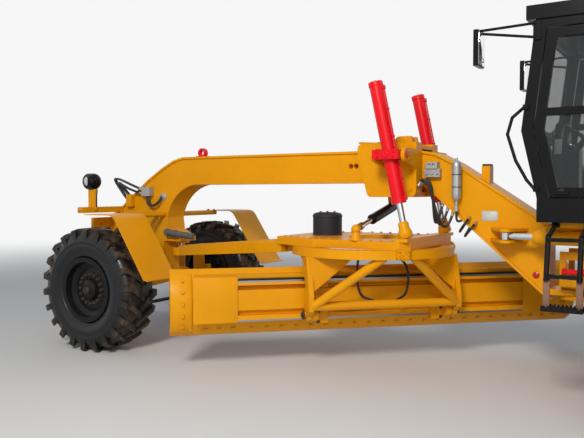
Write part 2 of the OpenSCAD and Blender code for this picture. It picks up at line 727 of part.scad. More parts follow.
module blade_circle() {
    root_r = ring_in + 26;
    color(yellow) at_circle() {
        difference() {
            translate([0, 0, ring_z]) cylinder(h = ring_t, r = circle_r);
            translate([0, 0, ring_z - 1]) linear_extrude(ring_t + 2) polygon([
                for (i = [0:ring_teeth - 1], s = [[0.08, 0], [0.35, 1], [0.65, 1], [0.92, 0]])
                let (a = 360 * (i + s[0]) / ring_teeth, r = s[1] == 1 ? root_r : ring_in)
                [r * cos(a), r * sin(a)]]);
        }
        left_and_right() {
            circle_leg();
            // Gusset that widens the leg's top toward the circle's middle
            translate([pitch_x - 90, 0, 0]) rotate([90, 0, 90]) linear_extrude(24) polygon([
                [leg_y, ring_z - 360], [leg_y, ring_z + 1], [leg_y - 400, ring_z + 1], [leg_y - 420, ring_z - 20]]);
            bar([pitch_x - 115, leg_y - 20, pitch_z + 96], [-circle_r + 70, 140, ring_z + 20], 42);
        }
        // Cross tube between the legs
        bar([pitch_x - 115, leg_y, pitch_z + 96], [pitch_x - 115, -leg_y, pitch_z + 96], 42);
    }
}

// Blade carrier: brackets that pitch on the legs and guide the moldboard's rails

rail_low_z = 530;
rail_up_z = 880;
sag_r = (blade_h * blade_h / 4 + blade_sag * blade_sag) / (2 * blade_sag);
sag_a = asin(blade_h / 2 / sag_r);
sag_x = sag_r - blade_sag;
blade_mid = blade_z + blade_h / 2;
function back_x(z) = sag_x - sqrt(pow(sag_r + blade_t, 2) - pow(z - blade_mid, 2));
rail_back = -215;
bracket_y = leg_y - leg_t / 2 - free_gap - 30;

// A block behind a rail with a lip over and one under it
module rail_guide(z) {
    translate([rail_back - 46, -75, z - rail_h / 2 - 34]) cube([45, 150, rail_h + 68]);
    for (s = [z + rail_h / 2 + 1, z - rail_h / 2 - 34])
        translate([rail_back - 2, -75, s]) cube([36, 150, 33]);
}

module blade_carrier() {
    color(yellow) at_circle() {
        left_and_right() {
            translate([0, bracket_y - 75, 0]) {
                rail_guide(rail_low_z);
                rail_guide(rail_up_z);
            }
            // Upright that joins the guides to the pitch pin
            translate([0, bracket_y + 30, 0]) rotate([90, 0, 0]) linear_extrude(60) polygon(concat(
                [[rail_back - 20, rail_low_z - 60], [rail_back - 20, rail_up_z + 60],
                [rail_back - 80, rail_up_z + 60]], arc([pitch_x, pitch_z], 60, 130, 270, 8)));
            translate([pitch_x, bracket_y, pitch_z]) rotate([-90, 0, 0])
                cylinder(h = leg_y + leg_t / 2 + 15 - bracket_y, r = pitch_r);
        }
    }
}

// Moldboard: a curved plate with end plates, a cutting edge and two rails

blade_out = blade_sag + blade_t;
edge_out = 6;
panel_low = rail_low_z + rail_h / 2 + 46;
panel_h = rail_up_z - rail_low_z - rail_h - 92;
// Shift along the blade that centres the machine's width on its middle line
blade_slide = (blade_out - edge_out) / 2 * tan(blade_angle);

module moldboard() {
    mold = concat(arc([sag_x, blade_mid], sag_r, 180 - sag_a, 180 + sag_a, 14),
        arc([sag_x, blade_mid], sag_r + blade_t, 180 + sag_a, 180 - sag_a, 14));
    color(yellow) at_circle() translate([0, blade_slide, 0]) {
        side_plate(mold, -blade_l / 2, blade_l);
        // Cutting edge, bolted in front of the plate's foot
        side_plate([[sag_x - sag_r * cos(sag_a) - 20, blade_z - 0.5], [sag_x - sag_r * cos(sag_a) + edge_out, blade_z - 0.5],
            [-58, blade_z + 150], [-84, blade_z + 150]], -blade_l / 2, blade_l);
        // End plates
        left_and_right() side_plate(concat([[0, blade_z + 6]],
            arc([sag_x, blade_mid], sag_r + blade_t, 180 + sag_a - 6, 180 - sag_a + 1, 10), [[2, blade_z + blade_h - 40]]),
            blade_l / 2 - 30, 30);
        // Stiffening panel between the rails, ribs that carry them and the shelf over the upper one
        translate([rail_back + 12, -rail_l / 2 - 120, panel_low]) cube([-rail_back - 40, rail_l + 240, panel_h]);
        for (z = [rail_low_z, rail_up_z]) translate([rail_back + rail_d, -rail_l / 2, z - rail_h / 2])
            cube([back_x(z) - rail_back - rail_d + 8, rail_l, rail_h]);
        translate([rail_back + rail_d, -rail_l / 2 - 120, rail_up_z + rail_h / 2 - 1])
            cube([back_x(rail_up_z + 60) - rail_back - rail_d + 8, rail_l + 240, 36]);
    }
}

module blade_rails() {
    color(chrome) at_circle() translate([0, blade_slide, 0]) for (z = [rail_low_z, rail_up_z])
        translate([rail_back, -rail_l / 2, z - rail_h / 2]) cube([rail_d - seat_gap, rail_l, rail_h]);
}

// Lift cylinders in their gimbal yokes

lift_lean = atan2(trunnion_x - stud_x, trunnion_z - stud_z);
lift_len = norm([trunnion_x - stud_x, trunnion_z - stud_z]);
collar_r = lift_r + 16;
yoke_in = collar_r + 5;
trunnion_r = 24;

module at_lift(side) {
    translate([trunnion_x, side * lift_y, trunnion_z]) children();
}

module lift_yoke(side) {
    color(red) at_lift(side) {
        difference() {
            translate([-arm_gap + 4, -112, -44]) cube([2 * arm_gap - 8, 224, 88]);
            translate([0, 0, -50]) cylinder(h = 100, r = yoke_in + 8);
            translate([0, 120, 0]) rotate([90, 0, 0]) cylinder(h = 240, r = trunnion_r + pin_gap);
        }
        for (s = [1, -1]) rotate([0, 90 * s, 0]) translate([0, 0, yoke_in + 20])
            cylinder(h = arm_gap + arm_t + 8 - yoke_in - 20, r = yoke_pin_r);
    }
}

module lift_barrel(side) {
    color(red) at_lift(side) rotate([0, lift_lean, 0]) {
        rotate_extrude() polygon([[lift_rod_r + pin_gap, -lift_under], [lift_r + 6, -lift_under],
            [lift_r + 6, -lift_under + 40], [lift_r, -lift_under + 44], [lift_r, -40], [collar_r, -36],
            [collar_r, 36], [lift_r, 40], [lift_r, lift_over - 44], [lift_r + 5, lift_over - 40],
            [lift_r + 5, lift_over], [0, lift_over], [0, lift_over - 30], [lift_r - 12, lift_over - 30],
            [lift_r - 12, -lift_under + 40], [lift_rod_r + pin_gap, -lift_under + 40]]);
        rotate([90, 0, 0]) translate([0, 0, -110]) cylinder(h = 110 - collar_r + 6, r = trunnion_r);
        rotate([-90, 0, 0]) translate([0, 0, -110]) cylinder(h = 110 - collar_r + 6, r = trunnion_r);
    }
}

// Rod with a piston and a cap that sits over the drawbar's ball
module lift_rod(side) {
    cap = stud_r + 2 * free_gap;
    color(chrome) at_lift(side) rotate([0, lift_lean, 0]) translate([0, 0, -lift_len]) {
        rotate_extrude() polygon([[0, cap], [stud_r - 8, cap], [stud_r, cap + 8], [stud_r, cap + 40],
            [lift_rod_r, cap + 62], [lift_rod_r, 1000], [lift_r - 12 - pin_gap, 1000],
            [lift_r - 12 - pin_gap, 1060], [0, 1060]]);
    }
}

// Centre-shift cylinder, from under the saddle to the drawbar's left side

module shift_axis() {
    d = shift_to - shift_from;
    translate(shift_from) rotate([atan2(d[2], d[1]) - 90, 0, 0]) children();
}

module shift_barrel() {
    color(black) shift_axis() {
        difference() {
            union() {
                translate([0, 0, 20]) cylinder(h = 80, r = 22);
                translate([0, 0, 75]) cylinder(h = 515, r = 50);
                rotate([0, 90, 0]) translate([0, 0, -26]) cylinder(h = 52, r = 42);
            }
            translate([0, 0, 85]) cylinder(h = 540, r = 24 + pin_gap);
            rotate([0, 90, 0]) translate([0, 0, -30]) cylinder(h = 60, r = shift_pin_r + pin_gap);
        }
    }
}

module shift_rod() {
    l = norm(shift_to - shift_from);
    color(chrome) shift_axis() {
        // The rod ends short of the drawbar's ball
        translate([0, 0, 325]) cylinder(h = l - 325 - stud_r - 40, r = 24);
        translate([0, 0, l - stud_r - 80]) cylinder(h = 50, r = 36);
    }
}

// Articulation cylinders

artic_from = [pivot_x - 700, 430, artic_z];
artic_to = [artic_eye_x, artic_eye_y, artic_z];
artic_run = norm(artic_to - artic_from);
artic_pin_r = 25;

module artic_axis() {
    translate(artic_from) rotate([0, 0, atan2(artic_to[1] - artic_from[1], artic_to[0] - artic_from[0])])
        rotate([0, 90, 0]) children();
}

module artic_barrel() {
    color(yellow) artic_axis() {
        difference() {
            union() {
                translate([0, 0, 45]) cylinder(h = 60, r = 30);
                translate([0, 0, 86]) cylinder(h = artic_run - 346, r = artic_r);
            }
            translate([0, 0, 90]) cylinder(h = artic_run, r = artic_rod_r + pin_gap);
        }
        rotate([0, 90, 0]) difference() {
            translate([0, 0, -32]) cylinder(h = 64, r = 55);
            translate([0, 0, -40]) cylinder(h = 80, r = artic_pin_r + pin_gap);
        }
    }
}

module artic_rod() {
    color(chrome) artic_axis() {
        translate([0, 0, artic_run - 840]) cylinder(h = 810, r = artic_rod_r);
        translate([0, 0, artic_run]) rotate([0, 90, 0]) translate([0, 0, -30]) cylinder(h = 60, r = 46);
    }
}

// Rear frame: two long rails, cross plates and the forks of the articulation

deck_z = 1440;
rail_top = 1100;
rail_out = 300;
rear_front = pivot_x - 150;
rail_front = pivot_x - 640;
engine_z = rail_top + seat_gap;
bumper_z = 1110;

// Plates over and under a lug, with the pin through them
module hinge_fork(z) {
    for (s = [z + lug_t + 4, z - 44]) translate([0, 0, s]) linear_extrude(40) polygon(concat(
        [[rear_front - 60, 150], [rear_front - 60, -150]], arc([pivot_x, 0], 85, -90, 90, 12)));
    translate([pivot_x, 0, z - 48]) cylinder(h = lug_t + 96, r = hinge_pin_r);
}

module rear_frame() {
    color(yellow) {
        // Spine between the articulation cylinders and the cab's deck over it
        difference() {
            translate([rail_front - 60, -150, 796]) cube([rear_front - rail_front + 60, 300, deck_z + 20 - 796]);
            translate([rail_front + 40, -200, 1000]) cube([rear_front - rail_front - 140, 400, 280]);
        }
        translate([cab_back - 10, -700, deck_z + 18])
            cube([pivot_x + 10 - cab_back, 1400, cab_floor - deck_z - 18 - seat_gap]);
        // Cheeks beside the hinge, with a window, on a cross plate
        translate([rear_front - 40, -230, 930]) cube([60, 460, 300]);
        left_and_right() difference() {
            translate([rear_front - 40, 205, 930]) cube([pivot_x + 60 - rear_front + 40, 25, 300]);
            translate([pivot_x - 100, 190, 990]) cube([110, 60, 170]);
        }
        hinge_fork(hinge_top);
        hinge_fork(hinge_low);
        // Long rails with cross beams
        left_and_right() side_plate([[rail_front, deck_z + 20], [rail_front, 800], [rail_front - 200, 780],
            [tandem_x + 600, 860], [tail_x + 130, 860], [tail_x + 60, 930], [tail_x + 60, rail_top],
            [cab_back - 60, rail_top], [cab_back - 5, deck_z + 20]], rail_out - 60, 60);
        for (x = [rail_front - 140, tandem_x + 120, tandem_x - 560, tail_x + 420])
            translate([x, 1 - rail_out, 900]) cube([140, 2 * rail_out - 2, 200]);
        // Side decks that carry the hood, with their uprights
        left_and_right() {
            translate([tail_x + 60, 440, deck_z - 60]) cube([rear_front - 1380 - tail_x, 120, 60]);
            for (x = [tail_x + 60, tandem_x - 700, tandem_x + 240])
                translate([x, rail_out - 4, 960]) cube([60, 264, deck_z - 961]);
        }
        // Ears and pins for the articulation cylinders
        left_and_right() {
            for (z = [artic_z + 33, artic_z - 33 - ear_t]) translate([artic_from[0] - 70, rail_out - 1, z])
                cube([128, artic_from[1] + 61 - rail_out, ear_t]);
            translate([artic_from[0], artic_from[1], artic_z - 60]) cylinder(h = 120, r = artic_pin_r);
        }
        // Axle housing between the tandems
        translate([tandem_x, tandem_in - seat_gap, wheel_z + 60]) rotate([90, 0, 0])
            cylinder(h = 2 * (tandem_in - seat_gap), r = 170);
        // Rear bumper
        difference() {
            translate([tail_x, -1000, 900]) cube([61, 2000, 420]);
            for (y = [-350, 350], z = [-130, 130]) translate([tail_x - 1, y, bumper_z + z])
                rotate([0, 90, 0]) cylinder(h = 70, r = bolt_r);
        }
    }
}

tandem_in = 570;
tandem_out = 800;

module tandem_cases() {
    end_r = 210;
    mid_r = 270;
    color(yellow) left_and_right() {
        side_plate(concat(
            arc([tandem_x + tandem_spread / 2, wheel_z], end_r, -90, 90, 10),
            [[tandem_x, wheel_z + mid_r]],
            arc([tandem_x - tandem_spread / 2, wheel_z], end_r, 90, 270, 10),
            [[tandem_x, wheel_z - mid_r]]), tandem_in, tandem_out - tandem_in);
        for (s = [1, -1]) translate([tandem_x + s * tandem_spread / 2, 0, wheel_z]) {
            translate([0, tandem_out - 1, 0]) rotate([-90, 0, 0]) cylinder(h = side_y + hub_out - 40 - tandem_out, r = 140);
            translate([0, side_y, 0]) spindle(hub_in + 60);
        }
    }
}

// Cab: a box with sloped front panes, window cuts and a door on each side

cab_half = cab_w / 2;
cab_back = pivot_x - 1350;
front_low = [pivot_x + 140, cab_floor + 190];
cab_waist = cab_floor + 725;
front_mid = [pivot_x + 266, cab_waist];
front_up = [pivot_x + 164, cab_top - roof_t];
cab_line = [[front_low[0], cab_floor], front_low, front_mid, front_up, [cab_back, cab_top - roof_t],
    [cab_back, cab_floor]];
door_back = pivot_x - 700;
door_low = cab_floor + 190;
door_up = cab_top - roof_t - 70;
post = 90;
waist_h = 45;
mid_rail_z = 2336;
mid_rail_h = 60;
door_line = [[front_low[0] - post, door_low], [front_mid[0] - post, cab_waist], [front_up[0] - post + 8, door_up],
    [door_back, door_up], [door_back, door_low]];
function inset(p, t) = let (q = concat([p[len(p) - 1]], p, [p[0]]), m = beside(q, t))
    [for (i = [1:len(p)]) m[i]];
quarter = [[door_back - post, door_low + 120], [door_back - post, door_up], [cab_back + 90, door_up],
    [cab_back + 90, door_low + 120]];

hinge_z = [1850, 2800];
hinge_y = cab_half + 18;
door_pin_r = 9;

// Half of a door hinge: knuckles at heights z with a leaf that reaches back or forward
module hinge_half(z, h, way) {
    translate([door_back, hinge_y, z]) cylinder(h = h, r = 17);
    translate([door_back - (way < 0 ? 60 : 0), cab_half - 1, z]) cube([60, 10, h]);
}

module cab_frame() {
    color(black) {
        difference() {
            side_plate(cab_line, -cab_half, cab_w);
            side_plate(inset(cab_line, wall_t), -cab_half + wall_t, cab_w - 2 * wall_t);
            left_and_right() {
                side_plate(door_line, cab_half - wall_t - 1, wall_t + 2);
                side_plate(quarter, cab_half - wall_t - 1, wall_t + 2);
            }
            // Front panes, upper and lower, and the rear pane
            translate([front_mid[0] - 300, -cab_half + 100, cab_waist + waist_h])
                cube([400, cab_w - 200, door_up - cab_waist - waist_h]);
            translate([front_low[0] - 160, -cab_half + 100, door_low + 20])
                cube([400, cab_w - 200, cab_waist - waist_h - door_low - 20]);
            translate([cab_back - 10, -cab_half + 120, door_low + 400])
                cube([wall_t + 20, cab_w - 240, door_up - door_low - 400]);
        }
        // Door hinges with their pins
        left_and_right() for (z = hinge_z) {
            hinge_half(z - 32, 31, -1);
            hinge_half(z + 61, 31, -1);
            translate([door_back, hinge_y, z - 20]) cylinder(h = 100, r = door_pin_r);
        }
        // Roof with its overhang
        translate([cab_back - 40, -cab_half - 20, cab_top - roof_t - 1])
            cube([front_up[0] - cab_back + 110, cab_w + 40, roof_t + 1]);
    }
}

// A sheet of glass between two points of the side view
module pane(a, b, y0, w) {
    d = unit(b - a);
    nn = [-d[1], d[0]];
    e = d * glass_t / 3;
    side_plate([a + e, b - e, b - e + nn * glass_t, a + e + nn * glass_t],
        y0 + seat_gap, w - 2 * seat_gap);
}

// Where the slanted front reaches a height
function front_at(z) = z < front_mid[1]
    ? front_low[0] + (front_mid[0] - front_low[0]) * (z - front_low[1]) / (front_mid[1] - front_low[1])
    : front_mid[0] + (front_up[0] - front_mid[0]) * (z - front_mid[1]) / (front_up[1] - front_mid[1]);

module cab_glass() {
    color([0.3, 0.4, 0.4, 0.4]) {
        for (z = [[cab_waist + waist_h, door_up], [door_low + 20, cab_waist - waist_h]])
            pane([front_at(z[0]) - 20, z[0]], [front_at(z[1]) - 20, z[1]], -cab_half + 100, cab_w - 200);
        left_and_right() side_plate(inset(quarter, seat_gap), cab_half - 26, glass_t);
        translate([cab_back + 20, -cab_half + 120 + seat_gap, door_low + 400 + seat_gap])
            cube([glass_t, cab_w - 240 - 2 * seat_gap, door_up - door_low - 400 - 2 * seat_gap]);
    }
}

module door() {
    leaf = inset(door_line, door_gap);
    color(black) {
        difference() {
            side_plate(leaf, cab_half - wall_t, wall_t);
            side_plate(inset(leaf, door_bar), cab_half - wall_t - 1, wall_t + 2);
        }
        // Hinge knuckles
        for (z = hinge_z) difference() {
            hinge_half(z, 60, 1);
            translate([door_back, hinge_y, z - 1]) cylinder(h = 62, r = door_pin_r + pin_gap);
        }
        // Mid rail and handle
        translate([door_back + door_gap + 20, cab_half - wall_t, mid_rail_z])
            cube([front_at(mid_rail_z) - post - door_back - 60, wall_t, mid_rail_h]);
        translate([front_low[0] - post - 150, cab_half - 1, door_low + 30]) cube([110, 30, 26]);
    }
}

module door_glass() {
    hole = inset(inset(door_line, door_gap), door_bar + seat_gap);
    color([0.3, 0.4, 0.4, 0.4]) difference() {
        side_plate(hole, cab_half - 26, glass_t);
        translate([door_back, cab_half - 60, mid_rail_z - seat_gap]) cube([1200, 80, mid_rail_h + 2 * seat_gap]);
    }
}

seat_x = pivot_x - 800;

module seat() {
    color(black) translate([seat_x, 0, cab_floor + wall_t + 380]) {
        translate([-220, -250, 0]) cube([480, 500, 110]);
        translate([-200, -230, 90]) rotate([0, -8, 0]) cube([110, 460, 580]);
    }
}

module cab_console() {
    color(black) {
        // Seat stand
        translate([seat_x - 180, -180, cab_floor + wall_t + seat_gap]) cube([360, 360, 379]);
        // Steering column and wheel
        translate([pivot_x - 60, -90, cab_floor + wall_t + seat_gap]) cube([120, 180, 560]);
        translate([pivot_x - 10, 0, cab_floor + 580]) rotate([0, -35, 0]) {
            cylinder(h = 160, r = 26);
            translate([0, 0, 150]) rotate_extrude() translate([185, 0]) circle(r = 14);
            for (a = [90, 210, 330]) rotate([0, 0, a]) translate([0, -12, 142]) cube([184, 24, 16]);
        }
    }
}

// Mirrors on two tubes each, and grab rails round the front corners
rail_y = cab_half + 24;
mirror_x = pivot_x + 611;
grab_line = [[pivot_x + 236, 2410], [pivot_x + 330, 2330], [pivot_x + 366, 2200], [pivot_x + 300, 1990],
    [pivot_x + 214, 1835], [pivot_x + 150, 1760]];

module mirrors() {
    color(black) left_and_right() {
        for (i = [0:len(grab_line) - 2])
            bar([grab_line[i][0], rail_y, grab_line[i][1]], [grab_line[i + 1][0], rail_y, grab_line[i + 1][1]], 13);
        for (i = [1:len(grab_line) - 2]) translate([grab_line[i][0], rail_y, grab_line[i][1]]) sphere(r = 14);
        // Feet of the grab rail on the cab's side
        for (g = [grab_line[0], grab_line[len(grab_line) - 1]])
            translate([g[0] - 30, cab_half + seat_gap, g[1] - 20]) cube([44, rail_y - cab_half, 40]);
        // Mirror arms from a plate beside the roof
        translate([pivot_x + 120, cab_half + seat_gap, 2930]) cube([60, 14, 150]);
        bar([pivot_x + 160, cab_half + 12, 3060], [mirror_x, cab_half + 4, 3050], 11);
        bar([pivot_x + 160, cab_half + 12, 2950], [mirror_x, cab_half + 4, 3030], 11);
        translate([mirror_x - 20, cab_half - 90, 2760]) cube([40, 180, 290]);
    }
}

// Hood: a thin shell over the engine, with louvres in its sides

hood_front = cab_back - 30;
hood_back = tail_x + 130;
engine_front = hood_front - 190;
engine_back = hood_back + 630;
exhaust_x = engine_front - 230;
exhaust_y = -200;
engine_h = 900;
hood_line = [[hood_front, deck_z + seat_gap], [hood_front, hood_top], [hood_back + 260, hood_rear],
    [hood_back, hood_rear - 160], [hood_back, deck_z + seat_gap]];

module hood() {
    color(yellow) difference() {
        side_plate(hood_line, -hood_w / 2, hood_w);
        side_plate(inset(hood_line, hood_t), -hood_w / 2 + hood_t, hood_w - 2 * hood_t);
        // Opening for the rear grille
        translate([hood_back - 10, 110 - hood_w / 2, deck_z + 100])
            cube([hood_t + 20, hood_w - 220, hood_rear - 300 - deck_z]);
        // Hole for the exhaust and the open floor over the engine
        translate([exhaust_x, exhaust_y, hood_rear]) cylinder(h = 300, r = 72);
        translate([hood_back + hood_t, hood_t - hood_w / 2, deck_z - 10])
            cube([hood_front - hood_back - 2 * hood_t, hood_w - 2 * hood_t, 60]);
        // Louvres
        for (i = [0:8]) translate([hood_back + 260, -hood_w / 2 - 1, deck_z + 120 + 52 * i])
            cube([520, hood_w + 2, 22]);
    }
}

module rear_grille() {
    color(black) {
        w = hood_w - 220 - 2 * seat_gap;
        h = hood_rear - 300 - deck_z - 2 * seat_gap;
        translate([hood_back + 2, -w / 2, deck_z + 100 + seat_gap]) difference() {
            cube([22, w, h]);
            for (i = [0:9]) translate([-1, 40, 30 + i * (h - 60) / 10]) cube([24, w - 80, (h - 60) / 10 - 14]);
        }
    }
}

module engine() {
    color("gray") translate([engine_back, -290, engine_z]) cube([engine_front - engine_back, 580, engine_h]);
}

module exhaust() {
    color(black) translate([exhaust_x, exhaust_y, engine_z + engine_h + seat_gap]) {
        cylinder(h = 700, r = 62);
        translate([0, 0, 699]) cylinder(h = 340, r = 42);
    }
}

ladder_front = pivot_x + 5;
ladder_in = pivot_x - 230;

module ladders() {
    color(black) left_and_right() {
        for (x = [ladder_front, ladder_in]) {
            translate([x - 30, 700 + seat_gap, deck_z + 20]) cube([60, 14, 38]);
            bar([x, 708, deck_z + 39], [x, 1000, 1400], 20);
            bar([x, 1000, 1402], [x, 1060, 1075], 20);
            // Strap that hangs the lowest step
            translate([x - 22, 1034, 856]) cube([44, 12, 249]);
        }
        for (s = [[1380, 1003], [1110, 1052]])
            translate([ladder_in, s[1] - 30, s[0] - 14]) cube([ladder_front - ladder_in, 60, 28]);
        // Lowest step with a toothed edge
        difference() {
            translate([ladder_in - 30, 980, 850]) cube([ladder_front - ladder_in + 60, 120, 42]);
            translate([ladder_in - 31, 994, 862]) cube([ladder_front - ladder_in + 62, 92, 40]);
            for (i = [0:8]) translate([ladder_in - 12 + 29 * i, 970, 880]) cube([14, 140, 20]);
        }
    }
}

front_frame();
saddle();
lifting_eyes();
front_axle();
front_fenders();
nose_lamps();
frame_valves();
frame_hoses();
lean_yoke();  // lean_yoke_left
mirror([0, 1, 0]) lean_yoke();  // lean_yoke_right
knuckle();  // knuckle_left
mirror([0, 1, 0]) knuckle();  // knuckle_right
tie_rod();
lean_bar();
wheel_place(axle_x, 1) rim();  // rim_front_left
wheel_place(axle_x, 1) tyre();  // tyre_front_left
wheel_place(axle_x, -1) rim();  // rim_front_right
wheel_place(axle_x, -1) tyre();  // tyre_front_right
drawbar_ball();
drawbar();
blade_circle();
blade_carrier();
moldboard();
blade_rails();
lift_yoke(1);  // lift_yoke_left
lift_barrel(1);  // lift_barrel_left
lift_rod(1);  // lift_rod_left
lift_yoke(-1);  // lift_yoke_right
lift_barrel(-1);  // lift_barrel_right
lift_rod(-1);  // lift_rod_right
shift_barrel();
shift_rod();
artic_barrel();  // artic_barrel_left
artic_rod();  // artic_rod_left
mirror([0, 1, 0]) artic_barrel();  // artic_barrel_right
mirror([0, 1, 0]) artic_rod();  // artic_rod_right
rear_frame();
tandem_cases();
wheel_place(tandem_x + tandem_spread / 2, 1) rim();  // rim_mid_left
wheel_place(tandem_x + tandem_spread / 2, 1) tyre();  // tyre_mid_left
wheel_place(tandem_x + tandem_spread / 2, -1) rim();  // rim_mid_right
wheel_place(tandem_x + tandem_spread / 2, -1) tyre();  // tyre_mid_right
wheel_place(tandem_x - tandem_spread / 2, 1) rim();  // rim_rear_left
wheel_place(tandem_x - tandem_spread / 2, 1) tyre();  // tyre_rear_left
wheel_place(tandem_x - tandem_spread / 2, -1) rim();  // rim_rear_right
wheel_place(tandem_x - tandem_spread / 2, -1) tyre();  // tyre_rear_right
cab_frame();
cab_glass();
door();  // door_left
door_glass();  // door_left_glass
mirror([0, 1, 0]) door();  // door_right
mirror([0, 1, 0]) door_glass();  // door_right_glass
seat();
cab_console();
mirrors();
hood();
engine();
rear_grille();
ladders();
exhaust();
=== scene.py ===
# %% [markdown]
# # A motor grader, dressed on its CAD frame
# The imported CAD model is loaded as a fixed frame. Its solids already have the real shapes, so most of
# them stay and only get a finish. What a solid can't show well, such as tyre tread, wheel nuts, hoses
# and the seat's cover, is modelled here and rides on the same bodies.

# %% Load the frame
import bpy, bmesh, math
from mathutils import Matrix, Vector


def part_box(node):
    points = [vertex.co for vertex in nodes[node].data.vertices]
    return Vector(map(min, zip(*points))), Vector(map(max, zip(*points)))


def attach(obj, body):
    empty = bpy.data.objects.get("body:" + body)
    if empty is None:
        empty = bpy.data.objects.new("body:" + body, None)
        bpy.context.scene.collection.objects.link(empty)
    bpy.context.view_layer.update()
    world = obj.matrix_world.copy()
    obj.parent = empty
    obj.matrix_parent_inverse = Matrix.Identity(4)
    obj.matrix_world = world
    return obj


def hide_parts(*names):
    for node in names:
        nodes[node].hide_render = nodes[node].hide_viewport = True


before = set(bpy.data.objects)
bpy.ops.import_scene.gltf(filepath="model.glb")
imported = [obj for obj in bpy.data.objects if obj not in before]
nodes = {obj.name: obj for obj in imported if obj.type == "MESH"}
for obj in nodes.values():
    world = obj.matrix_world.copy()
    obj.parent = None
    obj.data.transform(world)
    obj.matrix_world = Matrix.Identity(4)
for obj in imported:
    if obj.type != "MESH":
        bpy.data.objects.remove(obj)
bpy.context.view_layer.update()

# %% [markdown]
# ## Where the main parts are
# The machine is laid out from the front axle. These few places are repeated from the CAD model, in
# metres, because nearly every small part is set out from one of them.

# %% Places along the machine
AXLE = Vector((3.68, 0, 0.6739))       # front axle centre
TANDEM = Vector((-2.82, 0, 0.6739))    # middle of the tandem
WHEEL_Y = 1.045                        # middle of each tyre
PIVOT_X = -1.08                        # articulation
CIRCLE_X = 0.84                        # middle of the blade's circle
BLADE_TURN = math.radians(-46)
WEB_Y = 0.132                          # side plate of the beam
LAMP_Y, LAMP_Z = 0.6, 1.866
SIDES = (("left", 1), ("right", -1))
print("front axle at", tuple(AXLE))

# %% [markdown]
# ## The camera
# The photograph was matched with a level camera that stands to the left of the cab, about 1.7 metres
# up, and looks forward and to the right. It comes first and never moves again.

# %% Camera
FOCAL, PHOTO_WIDTH = 689.34, 584       # in pixels, from the match


def put(name, data):
    """Adds an object with this data to the scene."""
    thing = bpy.data.objects.new(name, data)
    bpy.context.scene.collection.objects.link(thing)
    return thing


camera_data = bpy.data.cameras.new("camera")
camera_data.sensor_width = 36
camera_data.lens = 36 * FOCAL / PHOTO_WIDTH
camera = put("camera", camera_data)
look = Vector((0.5227, -0.8525, -math.tan(0.039))).normalized()
camera.location = (-2.14, 6.43, 1.738)
camera.rotation_euler = look.to_track_quat("-Z", "Y").to_euler()
bpy.context.scene.camera = camera
print("lens", round(camera_data.lens, 1), "mm")

# %% [markdown]
# ## Making finishes
# Every finish is a small node tree on one shader, made of the same few nodes: noise, a value carried
# from one span to another, a mix of two colours and a bump. Object coordinates are metres here, so a
# noise of scale 3 gives patches of a third of a metre and a scale of 200 gives grain.

# %% Node helpers
def adder(tree):
    """Returns a function that adds a node, sets or links its inputs and gives its outputs."""
    def add(kind, inputs=None, **settings):
        node = tree.nodes.new("ShaderNode" + kind)
        for key, value in settings.items():
            setattr(node, key, value)
        for key, value in (inputs or {}).items():
            if isinstance(value, bpy.types.NodeSocket):
                tree.links.new(value, node.inputs[key])
            else:
                node.inputs[key].default_value = value
        return node.outputs
    return add


class Finish:
    """A material in the making. Each method adds a node and returns its output."""
    def __init__(self, name):
        self.material = bpy.data.materials.new(name)
        self.material.use_nodes = True
        self.tree = self.material.node_tree
        self.add = adder(self.tree)
        self.place = self.add("TexCoord")["Object"]

    def noise(self, scale, detail, **more):
        return self.add("TexNoise", {"Vector": self.place, "Scale": scale, "Detail": detail, **more})["Fac"]

    def wave(self, scale, bands, **more):
        return self.add("TexWave", {"Vector": self.place, "Scale": scale, **more}, bands_direction=bands)["Fac"]

    def upward(self, vector):
        return self.add("SeparateXYZ", {"Vector": vector})["Z"]

    def carry(self, value, start, end, low, high):
        return self.add("MapRange", {"Value": value, "From Min": start, "From Max": end, "To Min": low,
                                     "To Max": high})["Result"]

    def math(self, operation, a, b, **settings):
        return self.add("Math", {0: a, 1: b}, operation=operation, **settings)[0]

    def mix(self, factor, a, b):
        return self.add("Mix", {"Factor": factor, 6: a, 7: b}, data_type="RGBA")[2]

    def toned(self, colour, value):
        return self.add("HueSaturation", {"Color": (*colour, 1), "Value": value})["Color"]

    def bump(self, height, strength, distance, **more):
        return self.add("Bump", {"Height": height, "Strength": strength, "Distance": distance,
                                 **more})["Normal"]

    def done(self, **inputs):
        """Sets or links the shader's inputs; an underscore stands for a space."""
        for key, value in inputs.items():
            socket = self.tree.nodes["Principled BSDF"].inputs[key.replace("_", " ")]
            if isinstance(value, bpy.types.NodeSocket):
                self.tree.links.new(value, socket)
            else:
                socket.default_value = value
        return self.material

# %% [markdown]
# The body is a warm amber yellow, the cab, wheels and steps are black, and the lift cylinders and
# lifting eyes are bright red. All come from one recipe: patchy colour, a fine orange-peel bump, and dust
# that gathers near the ground and on faces that look up.

# %% Paints
EARTH, SOOT = (0.42, 0.33, 0.22), (0.16, 0.14, 0.12)    # dust on light and on dark paint


